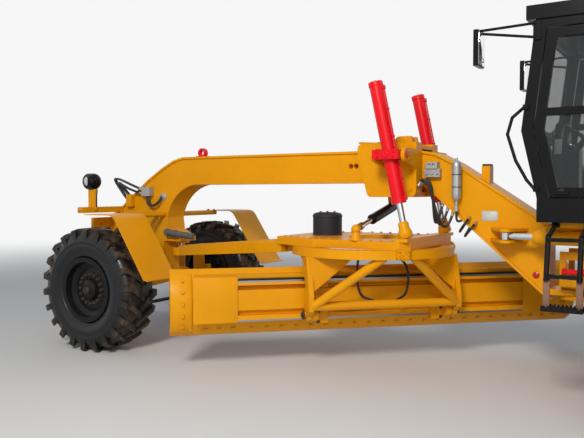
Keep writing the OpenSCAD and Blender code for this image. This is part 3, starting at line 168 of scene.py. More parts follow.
def paint(name, colour, rough, dust, speck=0.1, metallic=0.0, shine=0.3, dust_colour=EARTH):
    f = Finish(name)
    tone = f.carry(f.noise(2.5, 6.0, Roughness=0.6), 0.3, 0.7, 1 - speck, 1 + speck * 0.5)
    near_ground = f.carry(f.upward(f.place), 1.6, 0.2, 0.0, 0.7)
    on_top = f.carry(f.upward(f.add("NewGeometry")["Normal"]), 0.4, 1.0, 0.0, 0.6)
    mottle = f.carry(f.noise(60.0, 4.0), 0.35, 0.7, 0.3, 1.0)
    spread = f.math("MULTIPLY", f.math("ADD", near_ground, on_top), mottle)
    amount = f.math("MULTIPLY", spread, dust, use_clamp=True)
    soft = f.add("Bevel", {"Radius": 0.006}, samples=4)["Normal"]
    return f.done(Base_Color=f.mix(amount, f.toned(colour, tone), (*dust_colour, 1)),
                  Roughness=f.carry(amount, 0.0, 0.5, rough, min(rough + 0.45, 1)),
                  Metallic=metallic, Specular_IOR_Level=shine,
                  Normal=f.bump(f.noise(220.0, 2.0), 0.06, 0.001, Normal=soft))


yellow = paint("amber_yellow_paint", (0.80, 0.335, 0.002), 0.34, 0.04, speck=0.07, shine=0.14)
black = paint("black_paint", (0.006, 0.006, 0.007), 0.22, 0.05, shine=0.14, dust_colour=SOOT)
wheel_black = paint("wheel_paint", (0.008, 0.008, 0.009), 0.28, 0.07, shine=0.16,
                    dust_colour=(0.16, 0.13, 0.10))
red = paint("red_paint", (0.80, 0.006, 0.014), 0.26, 0.03, speck=0.05, shine=0.2)
grey = paint("grey_paint", (0.11, 0.11, 0.115), 0.45, 0.15, shine=0.2)
drum_grey = paint("drum_grey", (0.022, 0.024, 0.028), 0.5, 0.15, shine=0.2, dust_colour=SOOT)
valve_white = paint("cast_silver", (0.42, 0.43, 0.43), 0.36, 0.15, metallic=0.45)
dark_steel = paint("dark_bolt_steel", (0.05, 0.04, 0.032), 0.45, 0.12, metallic=0.5)
plate_white = paint("blank_plate", (0.62, 0.64, 0.63), 0.4, 0.05)
print(len(bpy.data.materials), "paints")

# %% [markdown]
# Rubber is nearly black and carries a grey bloom of dust. The tyres' sidewalls shine, and their tread
# carries dried mud; a value kept in the tyre's mesh tells the two apart.

# %% Rubber
def rubber(name, colour, rough, dust, scale):
    f = Finish(name)
    bloom = f.carry(f.noise(scale, 8.0, Roughness=0.65), 0.42, 0.68, 0.05, dust)
    return f.done(Base_Color=f.mix(bloom, (*colour, 1), (0.28, 0.23, 0.17, 1)), Roughness=rough,
                  Specular_IOR_Level=0.35, Normal=f.bump(f.noise(90.0, 5.0), 0.25, 0.002))


def tread_rubber(name, colour, mud_colour):
    f = Finish(name)
    cake = f.carry(f.noise(9.0, 8.0, Roughness=0.65), 0.46, 0.64, 0.02, 0.85)
    mud = f.math("MULTIPLY", cake, f.add("Attribute", attribute_name="tread")["Fac"], use_clamp=True)
    return f.done(Base_Color=f.mix(mud, (*colour, 1), (*mud_colour, 1)),
                  Roughness=f.carry(mud, 0.0, 0.5, 0.26, 0.85), Specular_IOR_Level=0.36,
                  Normal=f.bump(f.noise(70.0, 5.0), 0.2, 0.002))


tyre_rubber = tread_rubber("tyre_rubber", (0.010, 0.010, 0.011), (0.12, 0.075, 0.045))
hose_rubber = rubber("hose_rubber", (0.009, 0.009, 0.010), 0.34, 0.05, 12.0)
seal_rubber = rubber("seal_rubber", (0.010, 0.010, 0.010), 0.6, 0.08, 12.0)
strap_brown = rubber("strap_rubber", (0.22, 0.105, 0.07), 0.7, 0.3, 20.0)
print("four rubbers")

# %% [markdown]
# Bare metal has streaks that change its roughness. Window glass lets most light through by its alpha,
# which suits thin panes, and a film of haze blurs what it mirrors.

# %% Metal and glass
def bright_metal(name, colour, rough, scratch):
    f = Finish(name)
    streak = f.noise(scratch, 4.0)
    return f.done(Base_Color=(*colour, 1), Metallic=1.0, Normal=f.bump(streak, 0.03, 0.001),
                  Roughness=f.carry(streak, 0.3, 0.7, rough, rough + 0.14))


def window_glass(name, tint, clear):
    f = Finish(name)
    return f.done(Base_Color=(*tint, 1), Alpha=clear, Specular_IOR_Level=0.7,
                  Roughness=f.carry(f.noise(4.0, 5.0), 0.4, 0.75, 0.02, 0.10))


chrome = bright_metal("rod_chrome", (0.62, 0.64, 0.67), 0.10, 30.0)
steel = bright_metal("zinc_steel", (0.50, 0.48, 0.44), 0.32, 60.0)
worn_steel = bright_metal("worn_cutting_steel", (0.34, 0.32, 0.30), 0.38, 14.0)
mirror_face = bright_metal("mirror_face", (0.9, 0.9, 0.92), 0.02, 5.0)
glass = window_glass("cab_glass", (0.03, 0.04, 0.04), 0.34)
print(len(bpy.data.materials), "finishes")

# %% [markdown]
# The rails behind the blade are painted too, and the guides have rubbed one band of each to bare steel.
# The band is told by its height in Object coordinates: metal and brightness switch on between two
# heights of each rail, with an edge that a little noise makes uneven. Above the upper band the rail is
# painted dark brown as painted shade, the shadow in the slot over the upper rail.

# %% Rubbed rails
def rubbed_and_shaded_rail(name, bands, shade_from):
    f = Finish(name)
    noise = f.noise(6.0, 6.0)
    z = f.math("ADD", f.upward(f.place), f.carry(noise, 0.0, 1.0, -0.004, 0.004))
    inside = [f.math("MULTIPLY", f.math("GREATER_THAN", z, low), f.math("LESS_THAN", z, high))
              for low, high in bands]
    bare = f.math("MAXIMUM", *inside)
    # above the given height the yellow gives way to dark brown: painted shade of the slot over the upper rail
    paint_and_shade = f.mix(f.math("GREATER_THAN", z, shade_from), (0.80, 0.335, 0.003, 1), (0.020, 0.012, 0.007, 1))
    return f.done(Base_Color=f.mix(bare, paint_and_shade, (0.36, 0.37, 0.40, 1)), Metallic=bare, Roughness=0.3,
                  Specular_IOR_Level=0.2, Normal=f.bump(noise, 0.05, 0.002))


blade_rail = rubbed_and_shaded_rail("rubbed_and_shaded_rail", ((0.495, 0.516), (0.874, 0.893)), 0.893)

# %% [markdown]
# Lamp lenses are ribbed plastic over a bright bowl: the ribs are a wave in the colour and in the bump.
# The seat's cloth is a woven black fabric. Two crossed waves give the threads, and a little sheen lifts
# its edges.

# %% Lenses and seat cloth
def lens(name, colour):
    f = Finish(name)
    ribs = f.wave(22.0, "Y", Distortion=0.3)
    return f.done(Base_Color=f.toned(colour, f.carry(ribs, 0.0, 1.0, 0.75, 1.0)), Roughness=0.12,
                  Normal=f.bump(ribs, 0.3, 0.003))


def woven(name, colour):
    f = Finish(name)
    weave = f.math("MAXIMUM", f.wave(130.0, "X"), f.wave(130.0, "Y"))
    faded = f.carry(f.noise(7.0, 4.0), 0.3, 0.7, 0.8, 1.35)
    return f.done(Base_Color=f.toned(colour, faded), Roughness=0.85, Sheen_Weight=0.25,
                  Normal=f.bump(weave, 0.35, 0.001))


lamp_clear = lens("lamp_clear", (0.62, 0.65, 0.66))
lamp_red = lens("lamp_red", (0.55, 0.012, 0.010))
lamp_amber = lens("lamp_amber", (0.75, 0.22, 0.01))
seat_cloth = woven("seat_cloth", (0.022, 0.022, 0.025))
print(len(bpy.data.materials), "finishes in all")

# %% [markdown]
# ## Finishing the CAD solids
# The solids keep their shape, and each gets the finish of the real piece by its name. The first entry
# that the name starts with counts, and what no entry names is black.

# %% Finishes by node
starts = {
    yellow: "front_frame saddle front_axle front_fenders lean_yoke blade_circle blade_carrier moldboard "
            "artic_barrel rear_frame tandem_cases hood",
    chrome: "drawbar_ball lift_rod shift_rod artic_rod",
    red: "lifting_eyes lift_yoke lift_barrel",
    blade_rail: "blade_rails", valve_white: "frame_valves", hose_rubber: "frame_hoses",
    grey: "lean_bar engine", wheel_black: "rim_", tyre_rubber: "tyre_",
    glass: "cab_glass door_left_glass door_right_glass"}
finish_of = [(start, finish) for finish, names in starts.items() for start in names.split()]
finish_of += [("drawbar", yellow), ("", black)]
for name, node in nodes.items():
    finish = next(f for start, f in finish_of if name.startswith(start))
    node.data.materials.clear()
    node.data.materials.append(finish)
print("finished", len(nodes), "nodes")

# %% [markdown]
# ## Modelling helpers
# Small parts are built in one bmesh each, so a row of forty bolts is one piece. A matrix puts each
# operator's result straight where it belongs, and the object itself stays at the origin.

# %% Helpers that place simple forms
def aim(point, direction):
    """A matrix that carries Z to the direction, at the point."""
    return Matrix.Translation(point) @ Vector(direction).to_track_quat("Z", "Y").to_matrix().to_4x4()


def at(point, angle=0.0, axis="Z"):
    """A matrix that turns about an axis and then moves to the point."""
    return Matrix.Translation(point) @ Matrix.Rotation(angle, 4, axis)


def around(count, radius, shift=0.0):
    """Pairs of numbers that stand for points spread evenly on a circle."""
    return [(radius * math.cos(a), radius * math.sin(a))
            for a in (math.tau * (k + shift) / count for k in range(count))]


def disc(bm, point, direction, radius, height, sides=24, top=None):
    """A cylinder or cone that stands on the point."""
    place = aim(point, direction) @ at((0, 0, height / 2))
    return bmesh.ops.create_cone(bm, cap_ends=True, segments=sides, radius1=radius,
                                 radius2=radius if top is None else top, depth=height, matrix=place)["verts"]


def block(bm, corner, opposite, place=None):
    """A box between two opposite corners, given in any order."""
    low, high = Vector(map(min, corner, opposite)), Vector(map(max, corner, opposite))
    box = at((low + high) / 2) @ Matrix.Diagonal((*(high - low), 1))
    return bmesh.ops.create_cube(bm, size=1, matrix=(place @ box) if place else box)["verts"]

# %% [markdown]
# Turned parts, such as caps, lenses and knobs, are an outline spun round Z. Pipes and hoses are a ring
# of points that is extruded step by step along a line, turning with it, so the tube never twists.

# %% Helpers for turned parts and tubes
def mesh_of(bm, name="part"):
    """Turns a bmesh into a mesh and frees it."""
    mesh = bpy.data.meshes.new(name)
    bm.to_mesh(mesh)
    bm.free()
    return mesh


def add_part(bm, part, place=Matrix.Identity(4)):
    """Moves a finished part to its place and copies it into a larger bmesh."""
    bmesh.ops.transform(part, matrix=place, verts=part.verts)
    mesh = mesh_of(part)
    bm.from_mesh(mesh)
    bpy.data.meshes.remove(mesh)


def lathe(bm, outline, place, steps=32):
    """Spins an outline of (radius, height) round Z, merges its poles and puts it in place."""
    part = bmesh.new()
    points = [part.verts.new((r, 0, z)) for r, z in outline]
    edges = [part.edges.new(pair) for pair in zip(points, points[1:])]
    bmesh.ops.spin(part, geom=points + edges, cent=(0, 0, 0), axis=(0, 0, 1), angle=math.tau, steps=steps,
                   use_merge=True)
    bmesh.ops.remove_doubles(part, verts=part.verts, dist=0.00005)
    bmesh.ops.recalc_face_normals(part, faces=part.faces)
    add_part(bm, part, place)


def sweep(bm, points, radius, sides=12):
    """Extrudes a ring along a line of points and closes both ends."""
    points = [Vector(p) for p in points]
    last = len(points) - 1
    ways = [(points[min(i + 1, last)] - points[max(i - 1, 0)]).normalized() for i in range(last + 1)]
    ring = bmesh.ops.create_circle(bm, cap_ends=True, segments=sides, radius=radius,
                                   matrix=aim(points[0], ways[0]))["verts"]
    edges = list({e for v in ring for e in v.link_edges})
    for i in range(1, last + 1):
        grown = bmesh.ops.extrude_edge_only(bm, edges=edges)["geom"]
        ring = [g for g in grown if isinstance(g, bmesh.types.BMVert)]
        fresh = set(ring)
        edges = [g for g in grown if isinstance(g, bmesh.types.BMEdge) and set(g.verts) <= fresh]
        turn = ways[i - 1].rotation_difference(ways[i]).to_matrix().to_4x4()
        bmesh.ops.transform(bm, verts=ring, matrix=at(points[i]) @ turn @ at(-points[i - 1]))
    bmesh.ops.edgeloop_fill(bm, edges=edges)

# %% [markdown]
# Lines come in two kinds. A hose leaves one fitting and arrives at the other along given pulls, which is
# a cubic curve; a bent pipe has to run through every given point.

# %% Helpers for lines
def pulled(a, pull_a, pull_b, b, steps=24):
    a, b = Vector(a), Vector(b)
    c, d = a + Vector(pull_a), b + Vector(pull_b)
    return [a * (1 - t) ** 3 + c * 3 * t * (1 - t) ** 2 + d * 3 * t * t * (1 - t) + b * t ** 3
            for t in (i / steps for i in range(steps + 1))]


def through(points, steps=5):
    p = [Vector(q) for q in points]
    p = [p[0] * 2 - p[1]] + p + [p[-1] * 2 - p[-2]]
    line = []
    for i in range(1, len(p) - 2):
        for k in range(steps):
            t = k / steps
            line.append(0.5 * (p[i] * 2 + (p[i + 1] - p[i - 1]) * t
                               + (p[i - 1] * 2 - p[i] * 5 + p[i + 1] * 4 - p[i + 2]) * t * t
                               + (p[i] * 3 - p[i - 1] - p[i + 1] * 3 + p[i + 2]) * t ** 3))
    return line + [p[-2]]

# %% [markdown]
# A finished piece gets its outward normals, a small bevel where asked, one finish and the body that it
# rides on.

# %% Finishing a piece
CORNER = 0.6                           # edges that bend by more, in radians, are rounded


def finish_piece(name, bm, finish, body, rounded=0.0, place=None):
    if place:
        bmesh.ops.transform(bm, matrix=place, verts=bm.verts)
    bmesh.ops.recalc_face_normals(bm, faces=bm.faces)
    if rounded:
        edges = [e for e in bm.edges if len(e.link_faces) == 2 and e.calc_face_angle(0) > CORNER]
        bmesh.ops.bevel(bm, geom=edges, offset=rounded, segments=2, profile=0.5, affect="EDGES", material=-1,
                        clamp_overlap=True)
    mesh = mesh_of(bm, name)
    mesh.materials.append(finish)
    mesh.shade_smooth()
    mesh.set_sharp_from_angle(angle=math.radians(35))
    piece = put(name, mesh)
    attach(piece, body)
    return piece

# %% [markdown]
# Bolts and nuts are everywhere on such a machine. Each is a hexagon, mostly with a washer under it, and
# a row of them needs only its two ends and a count.

# %% Nuts
def hex_nut(bm, point, direction, across, height, washer=True):
    d, p = Vector(direction).normalized(), Vector(point)
    if washer:
        disc(bm, p, d, across * 0.72, height * 0.18, 16)
    disc(bm, p + d * height * 0.18, d, across * 0.577, height * 0.8, 6)


def nut_row(bm, start, end, count, direction, across=0.024, height=0.012):
    for i in range(count):
        hex_nut(bm, Vector(start).lerp(Vector(end), i / (count - 1)), direction, across, height)

# %% [markdown]
# ## Tyres
# A grader tyre has deep slanted bars that start near the middle and run out over the shoulder, left and
# right bars half a step apart. The carcass is one profile spun round the axle.

# %% The carcass
LUGS = 22
CROWN = 0.674            # outer radius at the middle of the tread


def carcass():
    """Half the outline, from the middle of the tread to the bead, mirrored and spun."""
    half = [(0.0, 0.644), (0.10, 0.642), (0.165, 0.634), (0.196, 0.612), (0.213, 0.575), (0.2185, 0.545),
            (0.2205, 0.538), (0.2225, 0.532), (0.2225, 0.524), (0.2205, 0.518), (0.2222, 0.49),
            (0.2215, 0.46), (0.212, 0.41), (0.2035, 0.392), (0.2045, 0.386), (0.2035, 0.380),
            (0.196, 0.372), (0.184, 0.358), (0.181, 0.340), (0.176, 0.3215)]
    outline = [(-y, r) for y, r in half[:0:-1]] + half
    bm = bmesh.new()
    points = [bm.verts.new((0, y, r)) for y, r in outline]
    edges = [bm.edges.new(pair) for pair in zip(points, points[1:])]
    edges.append(bm.edges.new((points[-1], points[0])))
    bmesh.ops.spin(bm, geom=points + edges, cent=(0, 0, 0), axis=(0, 1, 0), angle=math.tau, steps=88,
                   use_merge=True)
    bmesh.ops.remove_doubles(bm, verts=bm.verts, dist=0.0001)
    return bm

# %% [markdown]
# One bar is a cube cut into slices along Y, whose points are bent over the crown from the middle to the
# shoulder. It is copied round the tyre, and its mirror image follows half a step later.

# %% The bars
def one_bar():
    bm = bmesh.new()
    bmesh.ops.create_cube(bm, size=1)
    along = [e for e in bm.edges if abs(e.verts[0].co.y - e.verts[1].co.y) > 0.5]
    bmesh.ops.subdivide_edges(bm, edges=along, cuts=6)
    for v in bm.verts:
        t = v.co.y + 0.5                       # 0 in the middle, 1 at the end of the bar
        out = v.co.z > 0                       # outer face of the bar
        y = -0.018 + 0.238 * min(t / 0.86, 1.0) - (0.006 if out and t > 0.86 else 0.0)
        crown = CROWN if t < 0.7 else CROWN - 0.035 * ((t - 0.7) / 0.3) ** 1.6
        r = (crown if out else 0.635 - 0.03 * t) - 0.105 * max(0.0, (t - 0.86) / 0.14)
        width = (0.058 + 0.022 * t) * (0.86 if out else 1.0)
        turn = (0.145 * min(t / 0.75, 1.0) + 0.01 * t + v.co.x * width - 0.07) / 0.66
        v.co = (math.sin(turn) * r, y, math.cos(turn) * r)
    return mesh_of(bm, "bar_form")


tyre_form, bar = carcass(), one_bar()
for side in (1, -1):
    for i in range(LUGS):
        copy = bar.copy()
        turn = Matrix.Rotation(math.tau * (i + (0.5 if side < 0 else 0)) / LUGS, 4, "Y")
        copy.transform(turn @ Matrix.Diagonal((1, side, 1, 1)))
        tyre_form.from_mesh(copy)
        bpy.data.meshes.remove(copy)
bmesh.ops.recalc_face_normals(tyre_form, faces=tyre_form.faces)
tyre_mesh = mesh_of(tyre_form, "tyre_form")
print("one tyre:", len(tyre_mesh.polygons), "faces")

# %% [markdown]
# Six wheels share the form. Each copy is turned a little, so the tyres don't all stand alike, and moved
# in its mesh, so the object stays at the origin as the CAD nodes do.

# %% Six tyres
wheels = [(where, x, side, sign) for where, x in (("front", AXLE.x), ("mid", TANDEM.x + 0.77),
                                                  ("rear", TANDEM.x - 0.77)) for side, sign in SIDES]
for where, x, side, sign in wheels:
    bm = bmesh.new()
    bm.from_mesh(tyre_mesh)
    tread = bm.verts.layers.float.new("tread")
    for v in bm.verts:
        v[tread] = min(max((math.hypot(v.co.x, v.co.z) - 0.60) / 0.04, 0.0), 1.0)
    bmesh.ops.rotate(bm, verts=bm.verts, cent=(0, 0, 0),
                     matrix=Matrix.Rotation(math.radians(2 + 5 * sign), 3, "Y"))
    bmesh.ops.translate(bm, verts=bm.verts, vec=(x, sign * WHEEL_Y, AXLE.z))
    tyre = finish_piece(f"tread_tyre_{where}_{side}", bm, tyre_rubber, f"wheel_{where}_{side}")
    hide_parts(f"tyre_{where}_{side}")
print(len(wheels), "tyres replaced")

# %% [markdown]
# ## Wheel studs
# The rims are deep dishes with a ring of studs round the hub. A stud with its nut is a hexagon on a
# washer with a short threaded end; the whole ring is one piece that turns with the wheel.

# %% Nuts on the wheels
STUDS, STUD_RING, HUB_FACE = 16, 0.163, 0.107

for where, x, side, sign in wheels:
    bm = bmesh.new()
    face, out = sign * (WHEEL_Y + HUB_FACE), (0, sign, 0)
    for c, s in around(STUDS, STUD_RING):
        p = Vector((x + s, face, AXLE.z + c))
        hex_nut(bm, p, out, 0.034, 0.024)
        disc(bm, p, out, 0.011, 0.036, 10)
    hub = Vector((x, face + sign * 0.070, AXLE.z))
    lathe(bm, [(0, 0.004), (0.030, 0.004), (0.036, 0), (0.044, 0), (0.050, 0.006), (0.050, -0.004)],
          aim(hub, out), 28)
    for c, s in around(6, 0.024, 0.5):
        disc(bm, hub + Vector((s, 0, c)), out, 0.005, 0.007, 6)
    finish_piece(f"wheel_nuts_{where}_{side}", bm, dark_steel, f"wheel_{where}_{side}")
print("wheel nuts on")

# %% [markdown]
# ## The blade's frame
# The blade stands turned in the machine, so everything on it is set out in the blade's own frame: X out
# of its front, Y along it. Its back is part of a cylinder, and small things sit on that curve.

# %% Places on the blade
TURNED = at((CIRCLE_X, 0, 0), BLADE_TURN)
BLADE = TURNED @ at((0, -0.0859, 0))
CURVE, BACK_R = Vector((0.2351, 0, 0.675)), 0.4071     # middle and radius of the blade's back
BLADE_END = 2.135
PLATE, SKIN = 0.012, 0.0005                            # end plates' thickness, gap under them


def on_back(y, z, proud=0.0):
    """A point on the back of the blade and the way that faces out of it."""
    x = CURVE.x - math.sqrt(BACK_R ** 2 - (z - CURVE.z) ** 2)
    out = Vector((x - CURVE.x, 0, z - CURVE.z)).normalized()
    return Vector((x, y, z)) + out * proud, out

# %% [markdown]
# At each end a backing plate follows the curve. One edge across the blade is extruded up the back in ten
# steps, and the strip is then thickened.

# %% Bent plates
def backing_plate(bm, y0, y1, z0, z1, steps=10):
    part = bmesh.new()
    ends = [part.verts.new(on_back(y, z0, SKIN)[0]) for y in (y0, y1)]
    edge = part.edges.new(ends)
    for i in range(1, steps + 1):
        grown = bmesh.ops.extrude_edge_only(part, edges=[edge])["geom"]
        fresh = {g for g in grown if isinstance(g, bmesh.types.BMVert)}
        for v in fresh:
            v.co = on_back(v.co.y, z0 + (z1 - z0) * i / steps, SKIN)[0]
        edge = next(g for g in grown if isinstance(g, bmesh.types.BMEdge) and set(g.verts) == fresh)
    bmesh.ops.recalc_face_normals(part, faces=part.faces)
    if part.faces[:][0].normal.x > 0:
        bmesh.ops.reverse_faces(part, faces=part.faces)
    bmesh.ops.solidify(part, geom=part.faces, thickness=-PLATE)
    add_part(bm, part)

# %% [markdown]
# Each plate is held by a column of bolts, and a row of nuts along the blade's foot holds the cutting
# edge. All are painted with the blade.

# %% Plates and bolts on the blade
FOOT = 0.422                                           # height of the nuts on the cutting edge
plates, nuts = bmesh.new(), bmesh.new()
for sign in (1, -1):
    inner, outer = sorted((sign * 1.93, sign * (BLADE_END - 0.002)))
    backing_plate(plates, inner, outer, 0.40, 0.955)
    for z in (0.47, 0.57, 0.68, 0.79, 0.885):
        hex_nut(nuts, *on_back(sign * 2.02, z, PLATE), 0.030, 0.016)
    for i in range(5):
        hex_nut(nuts, *on_back(sign * (2.07 - 0.135 * i), FOOT), 0.030, 0.018)
for i in range(19):
    hex_nut(nuts, *on_back(-1.35 + 0.15 * i, FOOT), 0.026, 0.016)
finish_piece("blade_end_plates", plates, yellow, "moldboard", 0.002, BLADE)
finish_piece("blade_bolts", nuts, yellow, "moldboard", place=BLADE)
print("blade bolted")

# %% [markdown]
# A thick plate covers both rails beyond the reach of their guides and carries the blade's end. A thin
# ground strip of bare steel runs along the tip of the cutting edge, where the paint has gone.

# %% Covers on the rails' ends and worn edge
bm = bmesh.new()
for sign in (1, -1):
    block(bm, (-0.2175, sign * 1.50, 0.492), (-0.2035, sign * 1.925, 0.935))
finish_piece("blade_end_covers", bm, yellow, "moldboard", 0.005, BLADE)

bm = bmesh.new()
block(bm, (-0.0195, -BLADE_END + 0.001, 0.3690), (0.0065, BLADE_END - 0.001, 0.378))
finish_piece("worn_blade_tip", bm, worn_steel, "moldboard", 0.001, BLADE)
print("blade dressed")

# %% [markdown]
# ## Carrier and circle
# The rail guides are clamped with bolts on their inner side, where they clear the circle's legs as the
# blade pitches, and the pitch pins end in capped hexagons.

# %% Bolts of the carrier
bm = bmesh.new()
for sign in (1, -1):
    for z in (0.53, 0.88):
        for dz in (-0.048, 0.048):
            hex_nut(bm, (-0.261, sign * 0.639, z + dz), (-1, 0, 0), 0.024, 0.012)
finish_piece("guide_bolts", bm, dark_steel, "blade_carrier", place=TURNED)

bm = bmesh.new()
for sign in (1, -1):
    tip, out = Vector((-0.300, sign * 0.7905, 0.560)), (0, sign, 0)
    lathe(bm, [(0, 0.014), (0.040, 0.014), (0.046, 0.008), (0.046, 0)], aim(tip, out))
    hex_nut(bm, tip + Vector((0, sign * 0.013, 0)), out, 0.036, 0.014, washer=False)
finish_piece("pitch_pin_caps", bm, dark_steel, "blade_carrier", place=TURNED)
print("carrier bolted")

# %% [markdown]
# The guide blocks round the ring have four bolts each and a round flange with five. Rows of nuts follow
# the drawbar's two arms, and a dark drum covers the drive that turns the circle.

# %% Bolts and drum of the drawbar
RING_Z, ARM_TOP = 1.126, 1.2855                        # height of the ring, top of the drawbar's arms
bm = bmesh.new()
for angle in (20, -20, 134, -134):
    part = bmesh.new()
    for dy in (-0.048, 0.048):
        for dz in (0.014, 0.080):
            hex_nut(part, (0.8705, dy, dz), (1, 0, 0), 0.022, 0.012)
    for c, s in around(5, 0.028):
        hex_nut(part, (0.9125, s, 0.034 + c), (1, 0, 0), 0.014, 0.009)
    add_part(bm, part, at((CIRCLE_X, 0, RING_Z), math.radians(angle)))
for sign in (1, -1):
    nut_row(bm, (1.62, sign * 0.43, ARM_TOP), (1.24, sign * 0.565, ARM_TOP), 5, (0, 0, 1))
    nut_row(bm, (1.12, sign * 0.605, ARM_TOP), (0.36, sign * 0.605, ARM_TOP), 8, (0, 0, 1))
finish_piece("drawbar_bolts", bm, yellow, "drawbar")

bm = bmesh.new()
DRUM_X = 1.36
lathe(bm, [(0, 0.243), (0.100, 0.240), (0.140, 0.230), (0.154, 0.214), (0.158, 0.208), (0.158, 0.192),
           (0.154, 0.188), (0.154, 0.010), (0.160, 0.004), (0.160, 0.0003)],
      at((DRUM_X, 0, 1.2853)), 48)
for c, s in around(6, 0.085):
    hex_nut(bm, (DRUM_X + c, s, 1.5262), (0, 0, 1), 0.018, 0.010, washer=False)
finish_piece("circle_drive_cover", bm, drum_grey, "drawbar")
print("drawbar bolted")

# %% [markdown]
# Two hoses hang in the circle, from the swivel under its middle to the cross tube behind the blade. Both
# ends are held on the circle, so they turn with it, and they stay clear of the blade as it pitches.

# %% Hoses in the circle
bm = bmesh.new()
for sign in (1, -1):
    swivel, tube = (-0.045, sign * 0.150, 1.118), (-0.392, sign * 0.12, 0.692)
    waist = (-0.33, sign * 0.260, 0.85)
    sweep(bm, pulled(swivel, (-0.18, sign * 0.06, -0.02), (0, sign * 0.02, 0.20), waist), 0.012)
    sweep(bm, pulled(waist, (0, -sign * 0.02, -0.14), (0.03, sign * 0.09, 0.03), tube), 0.012)
finish_piece("circle_hoses", bm, hose_rubber, "blade_circle", place=TURNED)
print("hoses hung in the circle")

# %% [markdown]
# ## Lift cylinders
# Each red cylinder carries an oil pipe down its rear side, from a block at the top to one near the
# bottom. The pipe stays inside the gimbal's ring, so it swings with the barrel and touches nothing.

# %% Pipes of the lift cylinders
LIFT_Y = 0.535
TOP_X, TOP_Z, BALL_X, BALL_Z = 0.42, 2.08, 0.26, 1.35       # gimbal and ball of a lift cylinder
LIFT_LEAN = math.atan2(TOP_X - BALL_X, TOP_Z - BALL_Z)
LIFT_RUN = math.hypot(TOP_X - BALL_X, TOP_Z - BALL_Z)


def along_cylinder(sign):
    """The frame of a lift cylinder: origin at its gimbal, Z up its axis."""
    return at((TOP_X, sign * LIFT_Y, TOP_Z), LIFT_LEAN, "Y")


pipe = [(-0.060, 0, 0.625), (-0.073, 0, 0.610), (-0.0745, 0, 0.570), (-0.0745, 0, 0.20), (-0.0745, 0, -0.20),
        (-0.0745, 0, -0.385), (-0.072, 0, -0.412), (-0.060, 0, -0.425)]
for side, sign in SIDES:
    bm = bmesh.new()
    sweep(bm, through(pipe, 4), 0.0075, 10)
    for z in (0.625, -0.420):
        block(bm, (-0.084, -0.018, z - 0.018), (-0.058, 0.018, z + 0.018))
    for z in (0.42, 0.16, -0.24):
        block(bm, (-0.083, -0.014, z - 0.006), (-0.062, 0.014, z + 0.006))
    for c, s in around(8, 0.050, 0.5):
        disc(bm, (c, s, 0.6895), (0, 0, 1), 0.007, 0.008, 6)
    finish_piece(f"lift_pipe_{side}", bm, red, f"lift_barrel_{side}", 0.001, along_cylinder(sign))
print("pipes on the lift cylinders")

# %% [markdown]
# A yellow socket closes round the drawbar's ball at the foot of each rod: one outline spun round the
# rod, with clamp bolts round it. Red caps cover the pins of the gimbal.

# %% Sockets and caps of the lift cylinders
socket = [(0.0350, -0.0330), (0.0478, 0.0), (0.0470, 0.0150), (0.0380, 0.0300), (0.0380, 0.0560),
          (0.0452, 0.0650), (0.0452, 0.0975), (0.0315, 0.1210), (0.0345, 0.1210), (0.0400, 0.1150),
          (0.0490, 0.0990), (0.0480, 0.0640), (0.0520, 0.0520), (0.0640, 0.0250), (0.0650, -0.0100),
          (0.0560, -0.0340), (0.0350, -0.0330)]
for side, sign in SIDES:
    foot = along_cylinder(sign) @ at((0, 0, -LIFT_RUN))
    bm, part = bmesh.new(), bmesh.new()
    lathe(bm, socket, foot)
    for c, s in around(4, 1, 0.5):
        hex_nut(bm, foot @ Vector((0.060 * c, 0.060 * s, -0.012)), foot.to_3x3() @ Vector((c, s, 0)), 0.016,
                0.012, washer=False)
        disc(part, (0.0455 * c, 0.0455 * s, 0.096), (0, 0, 1), 0.006, 0.016, 6)
    add_part(bm, part, foot)
    finish_piece(f"rod_socket_{side}", bm, yellow, f"lift_rod_{side}")

    bm = bmesh.new()
    plate, out = Vector((TOP_X, sign * 0.6472, TOP_Z)), (0, sign, 0)
    lathe(bm, [(0, 0.008), (0.034, 0.008), (0.036, 0.006), (0.036, 0)], aim(plate, out))
    for dx in (-0.075, 0.075):
        for dz in (-0.022, 0.022):
            hex_nut(bm, plate + Vector((dx, 0, dz)), out, 0.018, 0.010)
    finish_piece(f"yoke_caps_{side}", bm, red, f"lift_yoke_{side}")
print("lift cylinders dressed")

# %% [markdown]
# ## Saddle, beam and nose
# The saddle's pins have keeper plates held by small bolts, and a column of larger bolts runs down each
# side box. The two rows of nuts along its cap lie inside the CAD solid and don't show.

# %% Bolts on the saddle
bm = bmesh.new()
for sign in (1, -1):
    out = (0, sign, 0)
    for way in (1, -1):
        for dz in (-0.040, 0.036):
            hex_nut(bm, (TOP_X + way * 0.166, sign * 0.505, TOP_Z + dz), (way, 0, 0), 0.018, 0.010)
    nut_row(bm, (0.33, sign * 0.160, 2.1858), (0.80, sign * 0.160, 2.1858), 6, (0, 0, 1), 0.026, 0.014)
    nut_row(bm, (0.31, sign * 0.2908, 1.760), (0.31, sign * 0.2908, 2.100), 3, out, 0.022, 0.012)
    hex_nut(bm, (0.47, sign * 0.0885, 2.235), out, 0.034, 0.016)
finish_piece("saddle_bolts", bm, yellow, "front_frame")
print("saddle bolted")

# %% [markdown]
# ## Hydraulic hoses
# The hoses are held by a fitting at each end, so they bend in smooth loops. They start and end where
# the CAD model's do, and stand out in the wider loops of the real ones, with spare length for the
# moving cylinders. Three leave the saddle, two hang under the slope and four arch over the nose.

# %% Hose routes
def slope_low(x):
    """Height of the beam's lower face on its slope."""
    return 0.79 + 0.948 * (x + 0.92) / 1.08


def nose_top(x):
    return 1.44 + (4.38 - x) * 0.75


